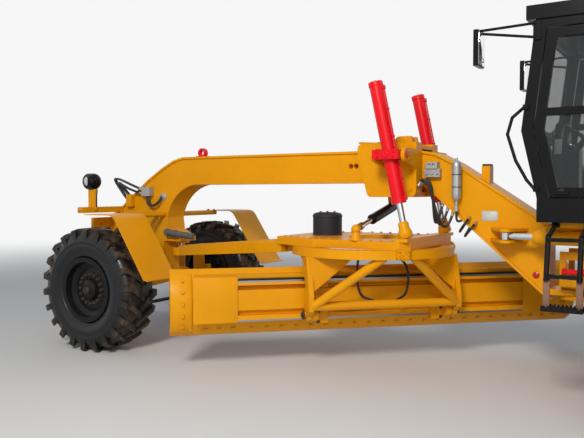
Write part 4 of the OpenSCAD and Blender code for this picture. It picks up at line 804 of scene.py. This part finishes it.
routes = []                # start, pull at the start, pull at the end, end, radius
for i in range(3):
    x = 0.06 - 0.05 * i
    routes.append(((0.2475, 0.185 + 0.034 * i, 1.80), (-0.20 + 0.03 * i, 0.02, 0.30),
                   (0.12, 0.10, -0.62 + 0.05 * i), (x, 0.09, slope_low(x) - 0.0058), 0.013))
for i in range(2):
    x = -0.14 - 0.044 * i
    routes.append(((x, -0.01, slope_low(x) - 0.0075), (0.11, 0.06, -0.21), (0.01, 0.19, -0.06),
                   (-0.21 - 0.06 * i, 0.1375, 1.50 - 0.046 * i), 0.012))
for row in range(2):
    for col in range(2):
        x = 4.11 + 0.046 * row
        routes.append(((3.834, 0.162 + 0.03 * col, 1.72 + 0.045 * row),
                       (0.42, 0.04, 0.08 + 0.06 * row), (0.32 + 0.06 * row, 0.06, 0.38 + 0.07 * row),
                       (x, 0.06 + 0.032 * col, nose_top(x) + 0.0026 - 0.0005 * row), 0.011))
print(len(routes), "routes")

# %% [markdown]
# Each route becomes a round tube with a crimped steel sleeve at both ends. Two short hoses without
# sleeves loop under the valve block. Together they stand for the CAD model's plain ones.

# %% Tubes and sleeves
tubes, sleeves = bmesh.new(), bmesh.new()
for start, pull_start, pull_end, end, radius in routes:
    line = pulled(start, pull_start, pull_end, end)
    sweep(tubes, line, radius)
    crimp = [(0, -0.002), (radius + 0.004, -0.002), (radius + 0.004, 0.010), (radius + 0.002, 0.013),
             (radius + 0.002, 0.044), (radius + 0.0005, 0.046)]
    for tip, way in ((line[0], line[1] - line[0]), (line[-1], line[-2] - line[-1])):
        lathe(sleeves, crimp, aim(tip, way), 16)
for z, end in ((1.690, (3.732, 0.176, 1.6895)), (1.668, (3.762, 0.186, 1.6895))):
    sweep(tubes, pulled((3.545, 0.165, z), (0.03, 0.05, -0.13), (0.0, 0.04, -0.16), end), 0.011)
hoses = finish_piece("hydraulic_hoses", tubes, hose_rubber, "front_frame")
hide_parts("frame_hoses")
finish_piece("hose_sleeves", sleeves, steel, "front_frame")
print("hoses with sleeves")

# %% [markdown]
# The web carries three screwed fittings and a round bulkhead for two hoses. The tank behind the saddle
# is held by two clamp bands and feeds a short hose.

# %% Fittings on the web
ON_WEB = WEB_Y + 0.0003
bm = bmesh.new()
for x in (0.085, 0.135, 0.185):
    hex_nut(bm, (x, 0.2025, 1.915), (0, 1, 0), 0.024, 0.016)
lathe(bm, [(0, 0.030), (0.022, 0.030), (0.026, 0.024), (0.026, 0.012), (0.045, 0.010), (0.048, 0.006),
           (0.048, 0)], aim((3.545, ON_WEB, 1.68), (0, 1, 0)))
finish_piece("web_fittings", bm, valve_white, "front_frame")

bm = bmesh.new()
for z in (1.780, 1.895):
    lathe(bm, [(0.0425, 0), (0.0450, 0.001), (0.0450, 0.008), (0.0425, 0.009)],
          at((-0.104, 0.204, z)))
sweep(bm, pulled((-0.104, 0.204, 1.565), (0, 0, -0.09), (0.02, 0.09, -0.02), (-0.135, 0.1375, 1.475)), 0.011)
finish_piece("tank_bands", bm, seal_rubber, "front_frame")
print("web dressed")

# %% [markdown]
# A grey cylinder is clamped to the frame's foot by two rings on short brackets, of which only the front
# one meets the frame. It is an outline spun round the line between its ends.

# %% Cylinder at the frame's foot
bm = bmesh.new()
tail_end, nose_end = Vector((3.05, 0.178, 1.218)), Vector((3.46, 0.196, 1.262))
way = nose_end - tail_end
run = way.length
lathe(bm, [(0, 0), (0.034, 0), (0.040, 0.006), (0.040, 0.040), (0.037, 0.044), (0.037, run - 0.040),
           (0.040, run - 0.036), (0.040, run - 0.006), (0.034, run), (0, run)], aim(tail_end, way))
for x, top in ((3.31, 1.246), (3.42, 1.252)):
    block(bm, (x - 0.018, ON_WEB, 1.226), (x + 0.018, 0.240, top))
    lathe(bm, [(0.036, -0.012), (0.045, -0.012), (0.045, 0.012), (0.036, 0.012)],
          aim(tail_end + way * ((x - tail_end.x) / way.x), way))
finish_piece("foot_cylinder", bm, grey, "front_frame", rounded=0.001)
print("foot cylinder clamped")

# %% [markdown]
# One blank plate is riveted to the web, and a red reflector sits on each side of the frame.

# %% Blank plate and reflectors
bm = bmesh.new()
block(bm, (-0.467, WEB_Y + 0.0002, 1.475), (-0.322, WEB_Y + 0.0022, 1.566))
finish_piece("blank_plate", bm, plate_white, "front_frame", rounded=0.0008)

bm = bmesh.new()
for x in (-0.461, -0.328):
    for z in (1.481, 1.560):
        lathe(bm, [(0, 0.0035), (0.003, 0.0028), (0.0045, 0)], aim((x, WEB_Y + 0.0021, z), (0, 1, 0)), 12)
finish_piece("plate_rivets", bm, steel, "front_frame")

dome = [(0, 0.012), (0.012, 0.0112), (0.022, 0.009), (0.029, 0.005), (0.031, 0.002), (0.031, 0)]
bm = bmesh.new()
for sign in (1, -1):
    lathe(bm, dome, aim((-0.807, sign * ON_WEB, 1.005), (0, sign, 0)))
finish_piece("frame_reflectors", bm, lamp_red, "front_frame")
print("plate and reflectors on")

# %% [markdown]
# The headlamps get a ribbed lens in front and a clear one round their outer side, a black rim and a
# cable down the post.

# %% Headlamps
lenses, rims = bmesh.new(), bmesh.new()
for sign in (1, -1):
    y = sign * LAMP_Y
    lathe(lenses, [(0, 0.062), (0.030, 0.058), (0.055, 0.046), (0.072, 0.026), (0.0800, 0)],
          aim((4.3166, y, LAMP_Z), (1, 0, 0)), 40)
    lathe(lenses, [(0, 0.052), (0.025, 0.049), (0.045, 0.040), (0.060, 0.024), (0.066, 0)],
          aim((4.276, sign * 0.648, LAMP_Z), (0.55, sign * 0.83, 0)), 32)
    lathe(rims, [(0.0805, -0.002), (0.0805, 0.006), (0.0900, 0.009), (0.0970, 0.002), (0.0985, -0.020),
                 (0.0975, -0.055), (0.0962, -0.055), (0.0962, -0.010), (0.0805, -0.002)],
          aim((4.3150, y, LAMP_Z), (1, 0, 0)), 40)
    sweep(rims, pulled((4.20, y, 1.805), (-0.05, 0, -0.06), (0.0, 0, 0.08), (4.186, y, 1.66)), 0.006, 8)
    sweep(rims, [(4.186, y, 1.665), (4.186, y, 1.562)], 0.006, 8)
finish_piece("lamp_lenses", lenses, lamp_clear, "front_frame")
finish_piece("lamp_rims", rims, black, "front_frame")
print("headlamps dressed")

# %% [markdown]
# Amber markers sit on the fenders' outer edges, bolts hold the fenders and the nose plate, and a rubber
# pad lies on the stop behind the saddle.

# %% Nose details
bm = bmesh.new()
for sign in (1, -1):
    lathe(bm, [(r * 0.9, z * 1.3) for r, z in dome], aim((4.25, sign * 0.8003, 1.525), (0, sign, 0)))
finish_piece("side_markers", bm, lamp_amber, "front_frame")

bm = bmesh.new()
for sign in (1, -1):
    for x in (3.625, 3.532):
        hex_nut(bm, (x, sign * 0.835, 1.5002), (0, 0, 1), 0.026, 0.014)
    nut_row(bm, (4.4802, sign * 0.385, 1.01), (4.4802, sign * 0.385, 1.37), 4, (1, 0, 0), 0.030, 0.016)
finish_piece("nose_bolts_and_nuts", bm, yellow, "front_frame")

bm = bmesh.new()
block(bm, (-0.368, -0.055, 1.9803), (-0.297, 0.055, 1.998))
finish_piece("stop_pad", bm, seal_rubber, "front_frame", rounded=0.004)
print("nose dressed")

# %% [markdown]
# ## Between the frames
# A red bar locks the articulation for transport and waits in its place on the rear frame. The hinge
# pins and the steering cylinders' pins end in bolted caps, and the upper ones are hidden under the
# cab's floor and the frame's top.

# %% Lock bar and hinge caps
ARTIC_TAIL, ARTIC_NOSE = (-1.78, 0.43, 1.355), (-0.59, 0.33, 1.355)      # the left cylinder's pins
bm = bmesh.new()
sweep(bm, [(-1.045, 0.262, 1.062), (-1.723, 0.262, 1.062)], 0.022, 20)
for x in (-1.062, -1.225):
    block(bm, (x - 0.018, 0.2303, 1.034), (x + 0.018, 0.262, 1.090))
finish_piece("lock_bar", bm, red, "rear_frame", rounded=0.001)

bm = bmesh.new()
for z in (1.498, 0.938):
    lathe(bm, [(0, 0.012), (0.052, 0.012), (0.056, 0.008), (0.056, 0)], at((PIVOT_X, 0, z)))
    for c, s in around(6, 0.038):
        hex_nut(bm, (PIVOT_X + c, s, z + 0.011), (0, 0, 1), 0.014, 0.008, washer=False)
for sign in (1, -1):
    hex_nut(bm, (ARTIC_TAIL[0], sign * ARTIC_TAIL[1], 1.4153), (0, 0, 1), 0.040, 0.018)
finish_piece("hinge_caps", bm, dark_steel, "rear_frame")
print("hinge capped")

# %% [markdown]
# Each articulation cylinder has an oil pipe between two blocks on its top and a gland ring where its rod
# comes out. They are set out by their distance along the cylinder.

# %% Articulation cylinders
for side, sign in SIDES:
    start, end = (Vector((x, sign * y, z)) for x, y, z in (ARTIC_TAIL, ARTIC_NOSE))
    way = (end - start).normalized()
    bm = bmesh.new()
    for u in (0.14, 0.86):
        block(bm, (-0.016, -0.016, 0.056), (0.016, 0.016, 0.084), at(start + way * u))
    sweep(bm, through([start + way * u + Vector((0, 0, up)) for u, up in (
        (0.14, 0.076), (0.20, 0.086), (0.50, 0.082), (0.80, 0.086), (0.86, 0.076))]), 0.007, 10)
    lathe(bm, [(0.0287, 0), (0.056, 0), (0.059, 0.004), (0.059, 0.016), (0.0287, 0.016)],
          aim(start + way * 0.9345, way))
    finish_piece(f"artic_pipe_{side}", bm, yellow, f"artic_barrel_{side}")
print("articulation dressed")

# %% [markdown]
# ## Tandems and tail
# The tandem cases carry round covers with twelve bolts. The tail has red and amber lamps on black
# plates, two reflectors and a blank number plate.

# %% Covers and tail lamps
bm = bmesh.new()
for sign in (1, -1):
    out = (0, sign, 0)
    lathe(bm, [(0, 0.010), (0.165, 0.010), (0.172, 0.006), (0.172, 0)],
          aim((TANDEM.x, sign * 0.8003, TANDEM.z), out), 48)
    for c, s in around(12, 0.145):
        hex_nut(bm, (TANDEM.x + c, sign * 0.8100, TANDEM.z + s), out, 0.022, 0.008, washer=False)
finish_piece("tandem_covers", bm, yellow, "rear_frame")

TAIL_X = -4.4803
housings, reds, ambers, rims = bmesh.new(), bmesh.new(), bmesh.new(), bmesh.new()
for sign in (1, -1):
    block(housings, (-4.4840, sign * 0.70, 1.150), (TAIL_X, sign * 0.94, 1.270))
    for y, target in ((0.765, reds), (0.875, ambers)):
        spot = aim((-4.4841, sign * y, 1.21), (-1, 0, 0))
        lathe(target, [(0, 0.016), (0.020, 0.0145), (0.036, 0.009), (0.042, 0.002), (0.042, 0)], spot)
        lathe(rims, [(0.042, 0), (0.048, 0), (0.048, 0.006), (0.045, 0.009), (0.042, 0.006)], spot)
    lathe(reds, dome, aim((-4.20, sign * 0.5603, 1.41), (0, sign, 0)))
finish_piece("tail_lamp_plates", housings, black, "rear_frame", rounded=0.0015)
finish_piece("tail_lamp_rims", rims, black, "rear_frame")
finish_piece("tail_lamps_red", reds, lamp_red, "rear_frame")
finish_piece("tail_lamps_amber", ambers, lamp_amber, "rear_frame")

bm = bmesh.new()
block(bm, (-4.4823, -0.26, 1.010), (TAIL_X, 0.26, 1.122))
finish_piece("blank_number_plate", bm, plate_white, "rear_frame", rounded=0.001)
print("tail dressed")

# %% [markdown]
# ## Hood
# Sheet-metal doors cover the engine. Their gaps are thin dark seams, and each door has two hinges and a
# latch. The seams stand a millimetre proud, because the solid below them can't be cut here.

# %% Seams and latches of the hood
HOOD_Y, SEAM, LATCH_Z = 0.5402, 0.0012, 1.556
EDGE = 0.11                                            # from the hood's top to the doors' upper edge


def hood_height(x):
    return 2.33 - 0.17 * (-2.46 - x) / 1.63


seams, latches = bmesh.new(), bmesh.new()
door_edges = (-2.52, -3.01, -3.50, -4.12)
for sign in (1, -1):
    skin, proud = HOOD_Y * sign, HOOD_Y * sign + sign * SEAM
    for x in door_edges:
        block(seams, (x - 0.003, skin, 1.51), (x + 0.003, proud, hood_height(x) - EDGE))
    for front, back in zip(door_edges, door_edges[1:]):
        rise, run = hood_height(front) - hood_height(back), front - back
        here = at((back, skin, hood_height(back) - EDGE), -math.atan2(rise, run), "Y")
        block(seams, (0, 0, -0.003), (math.hypot(run, rise), sign * SEAM, 0.003), here)
        block(seams, (back, skin, 1.507), (front, proud, 1.513))
        middle = (front + back) / 2
        for dx in (-0.13, 0.13):
            disc(latches, (middle + dx - 0.035, skin + sign * 0.006, hood_height(middle + dx) - EDGE),
                 (1, 0, 0), 0.008, 0.07, 12)
        block(latches, (middle - 0.055, skin, LATCH_Z - 0.020),
              (middle + 0.055, skin + sign * 0.010, LATCH_Z + 0.002))
finish_piece("hood_seams", seams, seal_rubber, "rear_frame")
finish_piece("hood_latches", latches, black, "rear_frame", rounded=0.002)
print("hood seamed")

# %% [markdown]
# Tilted slats stand behind the louvres, a low rail runs along both edges of the top, bolts hold the
# grille and a filler cap stands on the hood.

# %% Slats, rails, bolts and cap of the hood
slats, rails = bmesh.new(), bmesh.new()
for sign in (1, -1):
    for i in range(9):
        here = at((0, sign * 0.518, 1.571 + 0.052 * i), -sign * 0.65, "X")
        block(slats, (-4.085, -0.018, -0.0015), (-3.575, 0.018, 0.0015), here)
    line = [(x, sign * 0.485, hood_height(x) + up) for x, up in (
        (-2.62, 0.001), (-2.62, 0.055), (-2.66, 0.085), (-3.30, 0.085), (-3.92, 0.085), (-3.96, 0.055),
        (-3.96, 0.001))]
    sweep(rails, through(line, 4), 0.012)
    disc(rails, (-3.30, sign * 0.485, hood_height(-3.30) + 0.0005), (0, 0, 1), 0.010, 0.085, 12)
finish_piece("hood_slats", slats, yellow, "rear_frame")
finish_piece("hood_rails", rails, black, "rear_frame")

bm = bmesh.new()
for sign in (1, -1):
    nut_row(bm, (-4.3605, sign * 0.475, 1.56), (-4.3605, sign * 0.475, 1.96), 5, (-1, 0, 0), 0.02, 0.010)
lathe(bm, [(0, 0.036), (0.040, 0.036), (0.048, 0.030), (0.048, 0.004), (0.060, 0.002), (0.060, -0.004)],
      at((-3.62, 0.30, hood_height(-3.62))))
finish_piece("hood_bolts_and_cap", bm, dark_steel, "rear_frame")
print("hood dressed")

# %% [markdown]
# The exhaust ends in a rain flap that hinges on the pipe's rim. It is shown nearly shut, as it rests
# with the engine off.

# %% Rain flap
bm = bmesh.new()
flap = at((-2.925, -0.2, 3.048), math.radians(-14), "Y")
lathe(bm, [(0, 0.006), (0.046, 0.006), (0.050, 0.003), (0.050, 0)], flap @ at((0.047, 0, 0)))
block(bm, (-0.014, -0.020, -0.006), (0.014, 0.020, 0.006), flap)
lathe(bm, [(0.0425, -0.040), (0.0465, -0.040), (0.0465, -0.002), (0.0425, -0.002)],
      at((-2.88, -0.2, 3.0396)))
lathe(bm, [(0.0625, 0), (0.0655, 0), (0.0655, 0.03), (0.0625, 0.03)], at((-2.88, -0.2, 2.60)))
finish_piece("rain_flap", bm, dark_steel, "rear_frame")
print("rain flap on")

# %% [markdown]
# ## Cab
# The front panes sit in black rubber seals: a cord round each pane whose corners are rounded by short
# chamfers. The front leans, so a small function tells how far out it is at each height.

# %% Panes' seals
def seal(bm, corners, radius=0.007):
    corners = [Vector(c) for c in corners]
    count, line = len(corners), []
    for i, here in enumerate(corners):
        before, after = corners[i - 1] - here, corners[(i + 1) % count] - here
        line += [here + before.normalized() * 0.04, here + (before.normalized() + after.normalized()) * 0.012,
                 here + after.normalized() * 0.04]
    sweep(bm, line + line[:1], radius, 8)


def on_front(z, proud):
    """X of the cab's front at a height, a little outside its face."""
    foot, waist, head = (-0.94, 1.69), (-0.814, 2.225), (-0.916, 3.09)
    low, high = (foot, waist) if z < waist[1] else (waist, head)
    return low[0] + (high[0] - low[0]) * (z - low[1]) / (high[1] - low[1]) + proud


bm = bmesh.new()
for z0, z1 in ((1.715, 2.175), (2.275, 3.015)):
    seal(bm, [(on_front(z, 0.001), y, z) for y, z in ((-0.675, z0), (0.675, z0), (0.675, z1), (-0.675, z1))])
finish_piece("front_seals", bm, seal_rubber, "rear_frame")
print("front panes sealed")

# %% [markdown]
# A wiper is an arm on a knob with a blade across its end. The upper one parks along the bottom of its
# pane, the lower one along the side of the lower pane.

# %% Wipers
def wiper(bm, knob_y, knob_z, tip_y, tip_z, half):
    def off(distance):
        return Vector((distance, 0, 0))
    knob = Vector((on_front(knob_z, 0.0), knob_y, knob_z))
    tip = Vector((on_front(tip_z, 0.026), tip_y, tip_z))
    disc(bm, knob, (1, 0, 0), 0.018, 0.032, 16)
    sweep(bm, [knob + off(0.026), knob.lerp(tip, 0.5) + off(0.022), tip], 0.0055, 8)
    across = Vector((0, tip_y - knob_y, tip_z - knob_z)).normalized().cross(Vector((1, 0, 0)))
    a, b = tip + across * half, tip - across * half
    for end in (a, b):
        end.x = on_front(end.z, 0.012)
    sweep(bm, [a, a.lerp(b, 0.5), b], 0.006, 8)
    sweep(bm, [a.lerp(b, 0.2) + off(0.002), tip, a.lerp(b, 0.8) + off(0.002)], 0.004, 8)


bm = bmesh.new()
wiper(bm, 0.0, 3.045, 0.30, 2.68, 0.26)
wiper(bm, 0.25, 2.205, -0.10, 1.95, 0.20)
finish_piece("wipers", bm, black, "rear_frame")
print("two wipers")

# %% [markdown]
# The mirrors get bright faces behind a thin rim. Each door has a round lock, and two hinges of a plate
# and a pin that turn with it.

# %% Mirrors and door fittings
bm = bmesh.new()
for sign in (1, -1):
    block(bm, (-0.4925, sign * 0.702, 2.772), (-0.4893, sign * 0.858, 3.038))
finish_piece("mirror_faces", bm, mirror_face, "rear_frame", rounded=0.001)

for side, sign in SIDES:
    bm = bmesh.new()
    skin = sign * 0.7805
    lathe(bm, [(0, 0.003), (0.010, 0.003), (0.013, 0.006), (0.017, 0.006), (0.020, 0.003), (0.020, 0)],
          aim((-1.125, skin, 1.745), (0, sign, 0)), 24)
    for z in (1.95, 2.80):
        disc(bm, (-1.752, sign * 0.792, z - 0.05), (0, 0, 1), 0.013, 0.10, 16)
        block(bm, (-1.752, skin, z - 0.04), (-1.700, sign * 0.789, z + 0.04))
    finish_piece(f"door_fittings_{side}", bm, dark_steel, f"door_{side}", rounded=0.001)
print("cab dressed")

# %% [markdown]
# ## Seat
# A cushion starts as a block a little too small, with a crown and with sides that pull in between its
# corners. A voxel remesh cuts it into even cells for the cloth solver.

# %% The cushion's form
def cushion_form(name, low, size):
    bm = bmesh.new()
    bmesh.ops.create_cube(bm, size=1)
    bmesh.ops.subdivide_edges(bm, edges=bm.edges[:], cuts=25, use_grid_fill=True)
    for v in bm.verts:
        u = v.co * 2                                       # each runs from -1 to 1
        along_x, along_y = 1 - abs(u.x) ** 4, 1 - abs(u.y) ** 4
        u.z *= 0.80 + 0.20 * math.sqrt(along_x * along_y)
        pinch = 1 - 0.05 * abs(u.z) ** 2
        u.x *= pinch * (1 - 0.045 * along_y * abs(u.x))
        u.y *= pinch * (1 - 0.045 * along_x * abs(u.y))
        v.co = Vector(low[k] + size[k] * (u[k] + 1) / 2 for k in range(3))
    piece = finish_piece(name, bm, seat_cloth, "rear_frame")
    remesh = piece.modifiers.new("cells", "REMESH")
    remesh.mode, remesh.voxel_size = "VOXEL", 0.0065
    return piece


def settled(piece):
    """Replaces a piece's mesh by the result of its modifiers and takes them off."""
    made = bpy.data.meshes.new_from_object(piece.evaluated_get(bpy.context.evaluated_depsgraph_get()))
    piece.modifiers.clear()
    piece.data = made
    return [v.co.copy() for v in made.vertices]

# %% [markdown]
# The cloth solver blows the cushion up from inside. No point may move more than the cap, and the
# underside stays flat on its pan. The sewn channels are pressed in last, because a remesh would fill
# them; they fade out towards the cushion's rim.

# %% Cushions by cloth simulation
def cushion(name, low, high, place, seams, cap=0.010):
    low, size = Vector(low), Vector(high) - Vector(low)
    piece = cushion_form(name, low, size)
    before = settled(piece)
    cloth = piece.modifiers.new("fill", "CLOTH")
    cloth.settings.use_pressure = True
    cloth.settings.uniform_pressure_force = 4
    cloth.settings.effector_weights.gravity = 0
    for step in range(1, 21):
        bpy.context.scene.frame_set(step)
    after = settled(piece)
    bpy.context.scene.frame_set(1)
    for v, a, b in zip(piece.data.vertices, before, after):
        move = b - a
        v.co = a + move * min(1.0, cap / max(move.length, 1e-6))
    for v in piece.data.vertices:
        v.co.z = max(v.co.z, low.z)
        if v.co.z > low.z + size.z * 0.4:
            rim = min(1.0, (v.co.x - low.x) / 0.04, (low.x + size.x - v.co.x) / 0.04)
            for seam in seams:
                v.co.z -= 0.014 * max(rim, 0) * math.exp(-((v.co.y - seam) / 0.010) ** 2)
        v.co = place @ v.co
    piece.data.shade_smooth()
    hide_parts("seat")
    return piece


SEAT_BACK = at((-2.08, 0, 2.015), math.radians(-98), "Y")
base = cushion("seat_cushion", (-2.080, -0.232, 1.947), (-1.632, 0.232, 2.032), Matrix.Identity(4),
               (-0.115, 0.115))
back = cushion("seat_back", (0.030, -0.215, -0.088), (0.560, 0.215, -0.024), SEAT_BACK, (-0.105, 0.105))
print("cushions of", len(base.data.vertices), "and", len(back.data.vertices), "points")

# %% [markdown]
# A hard pan, a back shell and two armrests of moulded plastic carry the cushions.

# %% Shells and armrests
bm = bmesh.new()
block(bm, (-2.092, -0.240, 1.9255), (-1.626, 0.240, 1.9465))
block(bm, (0.012, -0.226, -0.0235), (0.570, 0.226, -0.004), SEAT_BACK)
for sign in (1, -1):
    inner, outer = sign * 0.270, sign * 0.335
    block(bm, (-2.06, inner, 2.175), (-1.70, outer, 2.215))
    block(bm, (-1.78, inner, 2.215), (-1.66, outer, 2.235))
    block(bm, (-2.085, sign * 0.215, 2.15), (-2.035, outer, 2.19))
shells = finish_piece("seat_shells", bm, black, "rear_frame", rounded=0.006)
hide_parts("seat")
print("seat built")

# %% [markdown]
# Short levers with round knobs stand on the armrests, and two pedals hang before the column. A small
# panel with a dark screen stands at the front.

# %% Levers, pedals and panel
LEVER = Vector((0.2, 0, 1))                            # the way the levers lean
bm = bmesh.new()
for sign in (1, -1):
    for x, y in ((-1.755, 0.285), (-1.755, 0.320), (-1.705, 0.285), (-1.705, 0.320)):
        foot = Vector((x, sign * y, 2.2345))
        disc(bm, foot, (0, 0, 1), 0.012, 0.010, 16, 0.006)
        disc(bm, foot, LEVER, 0.004, 0.075, 10)
        lathe(bm, [(0, 0.030), (0.008, 0.028), (0.0125, 0.020), (0.012, 0.010), (0.006, 0.002), (0, 0)],
              aim(foot + LEVER.normalized() * 0.072, LEVER), 16)
    y = sign * 0.18
    sweep(bm, pulled((-1.15, y, 1.72), (-0.02, 0, -0.06), (0.10, 0, 0.02), (-1.27, y, 1.60)), 0.009, 10)
    block(bm, (-1.33, y - 0.05, 1.592), (-1.22, y + 0.05, 1.604))
block(bm, (-1.165, -0.19, 1.70), (-1.135, 0.19, 1.735))
finish_piece("cab_levers_and_pedals", bm, seal_rubber, "rear_frame", rounded=0.001)

panel = at((-1.055, 0, 2.108), math.radians(-28), "Y")
for name, low, high, finish, rounded in (
        ("cab_panel", (-0.045, -0.15, 0.0), (0.045, 0.15, 0.045), black, 0.010),
        ("cab_screen", (-0.036, -0.10, 0.0440), (0.036, 0.10, 0.0465), mirror_face, 0.001)):
    bm = bmesh.new()
    block(bm, low, high, panel)
    finish_piece(name, bm, finish, "rear_frame", rounded)
print("controls fitted")

# %% [markdown]
# In front of the wheel stands a hard pod for the gauges, with a blank white card on its side. It is a
# block that narrows upwards, with generous round edges, on a narrow column.

# %% Gauge pod
bm = bmesh.new()
pod = at((-0.965, 0, 2.0), math.radians(-6), "Y")
top = [v for v in block(bm, (-0.070, -0.17, -0.16), (0.055, 0.17, 0.34), pod) if v.co.z > 2.2]
bmesh.ops.scale(bm, vec=(0.8, 0.7, 1), verts=top, space=at((0.965, 0, -2.3)))
block(bm, (-1.03, -0.045, 1.546), (-0.93, 0.045, 1.86))
finish_piece("gauge_pod", bm, black, "rear_frame", rounded=0.022)

bm = bmesh.new()
block(bm, (-0.035, -0.0015, -0.065), (0.025, 0.0015, 0.065),
      at((-0.975, 0.1495, 2.13), math.radians(6), "X"))
finish_piece("blank_card", bm, plate_white, "rear_frame")
print("gauge pod stands")

# %% [markdown]
# ## Steps and tie rod
# Worn brown rubber straps carry the lowest step of each ladder, so that it can swing back over a stone.
# The tie rod ends in ball joints: a greased housing on the rod with a stud, and two clamp rings beside
# it. The studs rise beside the steering arms and end short of them, as the rod's linkage is open here.

# %% Ladder straps and ball joints
bm = bmesh.new()
for sign in (1, -1):
    for x in (-1.075, -1.310):
        block(bm, (x - 0.0245, sign * 1.0325, 0.870), (x + 0.0245, sign * 1.0475, 1.090))
finish_piece("step_straps", bm, strap_brown, "rear_frame", rounded=0.003)

bm = bmesh.new()
low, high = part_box("tie_rod")
middle = Vector(((low[0] + high[0]) / 2, 0, (low[2] + high[2]) / 2))
for sign in (1, -1):
    lathe(bm, [(0, -0.036), (0.020, -0.036), (0.036, -0.024), (0.038, 0.010), (0.030, 0.026), (0.020, 0.034),
               (0.016, 0.060), (0, 0.060)],
          at(middle + Vector((0, sign * (high[1] - 0.012), 0))), 24)
    for share in (0.72, 0.80):
        disc(bm, middle + Vector((0, sign * high[1] * share, 0)), (0, sign, 0), 0.033, 0.014)
finish_piece("tie_rod_joints", bm, dark_steel, "tie_rod", rounded=0.001)
print("straps and ball joints on")

# %% [markdown]
# ## Floor, backdrop and light
# The machine stands on a plain pale floor that catches its shadow. Far away the floor fades into the
# backdrop's own white for what the camera, mirrors and glass see, so no horizon cuts the picture.

# %% Floor
BACKDROP = (0.93, 0.93, 0.93, 1)


def seen(add):
    """One for camera, mirror and glass rays, nought for rays that carry light."""
    path = add("LightPath")
    first = add("Math", {0: path["Is Camera Ray"], 1: path["Is Glossy Ray"]}, operation="MAXIMUM")[0]
    return add("Math", {0: first, 1: path["Is Transmission Ray"]}, operation="MAXIMUM")[0]


pale = Finish("floor_pale")
tone = pale.carry(pale.noise(0.8, 5.0), 0.0, 1.0, 0.97, 1.02)
pale.done(Base_Color=pale.toned((0.76, 0.76, 0.75), tone), Roughness=1.0, Specular_IOR_Level=0.0)
far = pale.add("VectorMath", {0: pale.place}, operation="LENGTH")["Value"]
fade = pale.add("MapRange", {"Value": far, "From Min": 8.0, "From Max": 22.0},
                interpolation_type="SMOOTHSTEP")["Result"]
blend = pale.add("MixShader", {0: pale.math("MULTIPLY", fade, seen(pale.add)),
                               1: pale.tree.nodes["Principled BSDF"].outputs["BSDF"],
                               2: pale.add("Emission", {"Color": BACKDROP, "Strength": 1.0})["Emission"]})
pale.tree.links.new(blend["Shader"], pale.tree.nodes["Material Output"].inputs["Surface"])

bm = bmesh.new()
bmesh.ops.create_grid(bm, x_segments=1, y_segments=1, size=60)
floor_mesh = mesh_of(bm, "floor")
floor_mesh.materials.append(pale.material)
floor = put("floor", floor_mesh)
print("floor laid")

# %% [markdown]
# The sky is pale blue for the rays that carry light and the backdrop's white for those that are seen.
# The light is a mild sunny day: a large warm lamp from the left above, and two weak ones that open the
# shadows.

# %% Sky and lamps
world = bpy.data.worlds.new("world")
bpy.context.scene.world = world
world.use_nodes = True
tree = world.node_tree
sky = tree.nodes["Background"]
sky.inputs["Color"].default_value = (0.80, 0.86, 0.95, 1)
sky.inputs["Strength"].default_value = 0.36
add = adder(tree)
choice = add("MixShader", {0: seen(add), 1: sky.outputs["Background"],
                           2: add("Background", {"Color": BACKDROP})["Background"]})
tree.links.new(choice["Shader"], tree.nodes["World Output"].inputs["Surface"])


def area_lamp(name, place, target, size, power, colour):
    lamp = bpy.data.lights.new(name, "AREA")
    lamp.shape, lamp.size, lamp.energy, lamp.color = "DISK", size, power, colour
    holder = put(name, lamp)
    holder.location = place
    holder.rotation_euler = (Vector(target) - Vector(place)).to_track_quat("-Z", "Y").to_euler()


area_lamp("key", (-1.5, 10.5, 7.5), (1.0, 0, 1.2), 2.5, 900, (1.0, 0.95, 0.88))
area_lamp("fill", (-9.0, -3.0, 6.0), (0, 0, 1.2), 7.0, 150, (0.92, 0.96, 1.0))
area_lamp("side", (-5.0, 9.0, 4.0), (-1.0, 0, 1.2), 6.0, 150, (0.96, 0.98, 1.0))
bpy.context.scene.view_settings.view_transform = "Standard"
print("stage set")
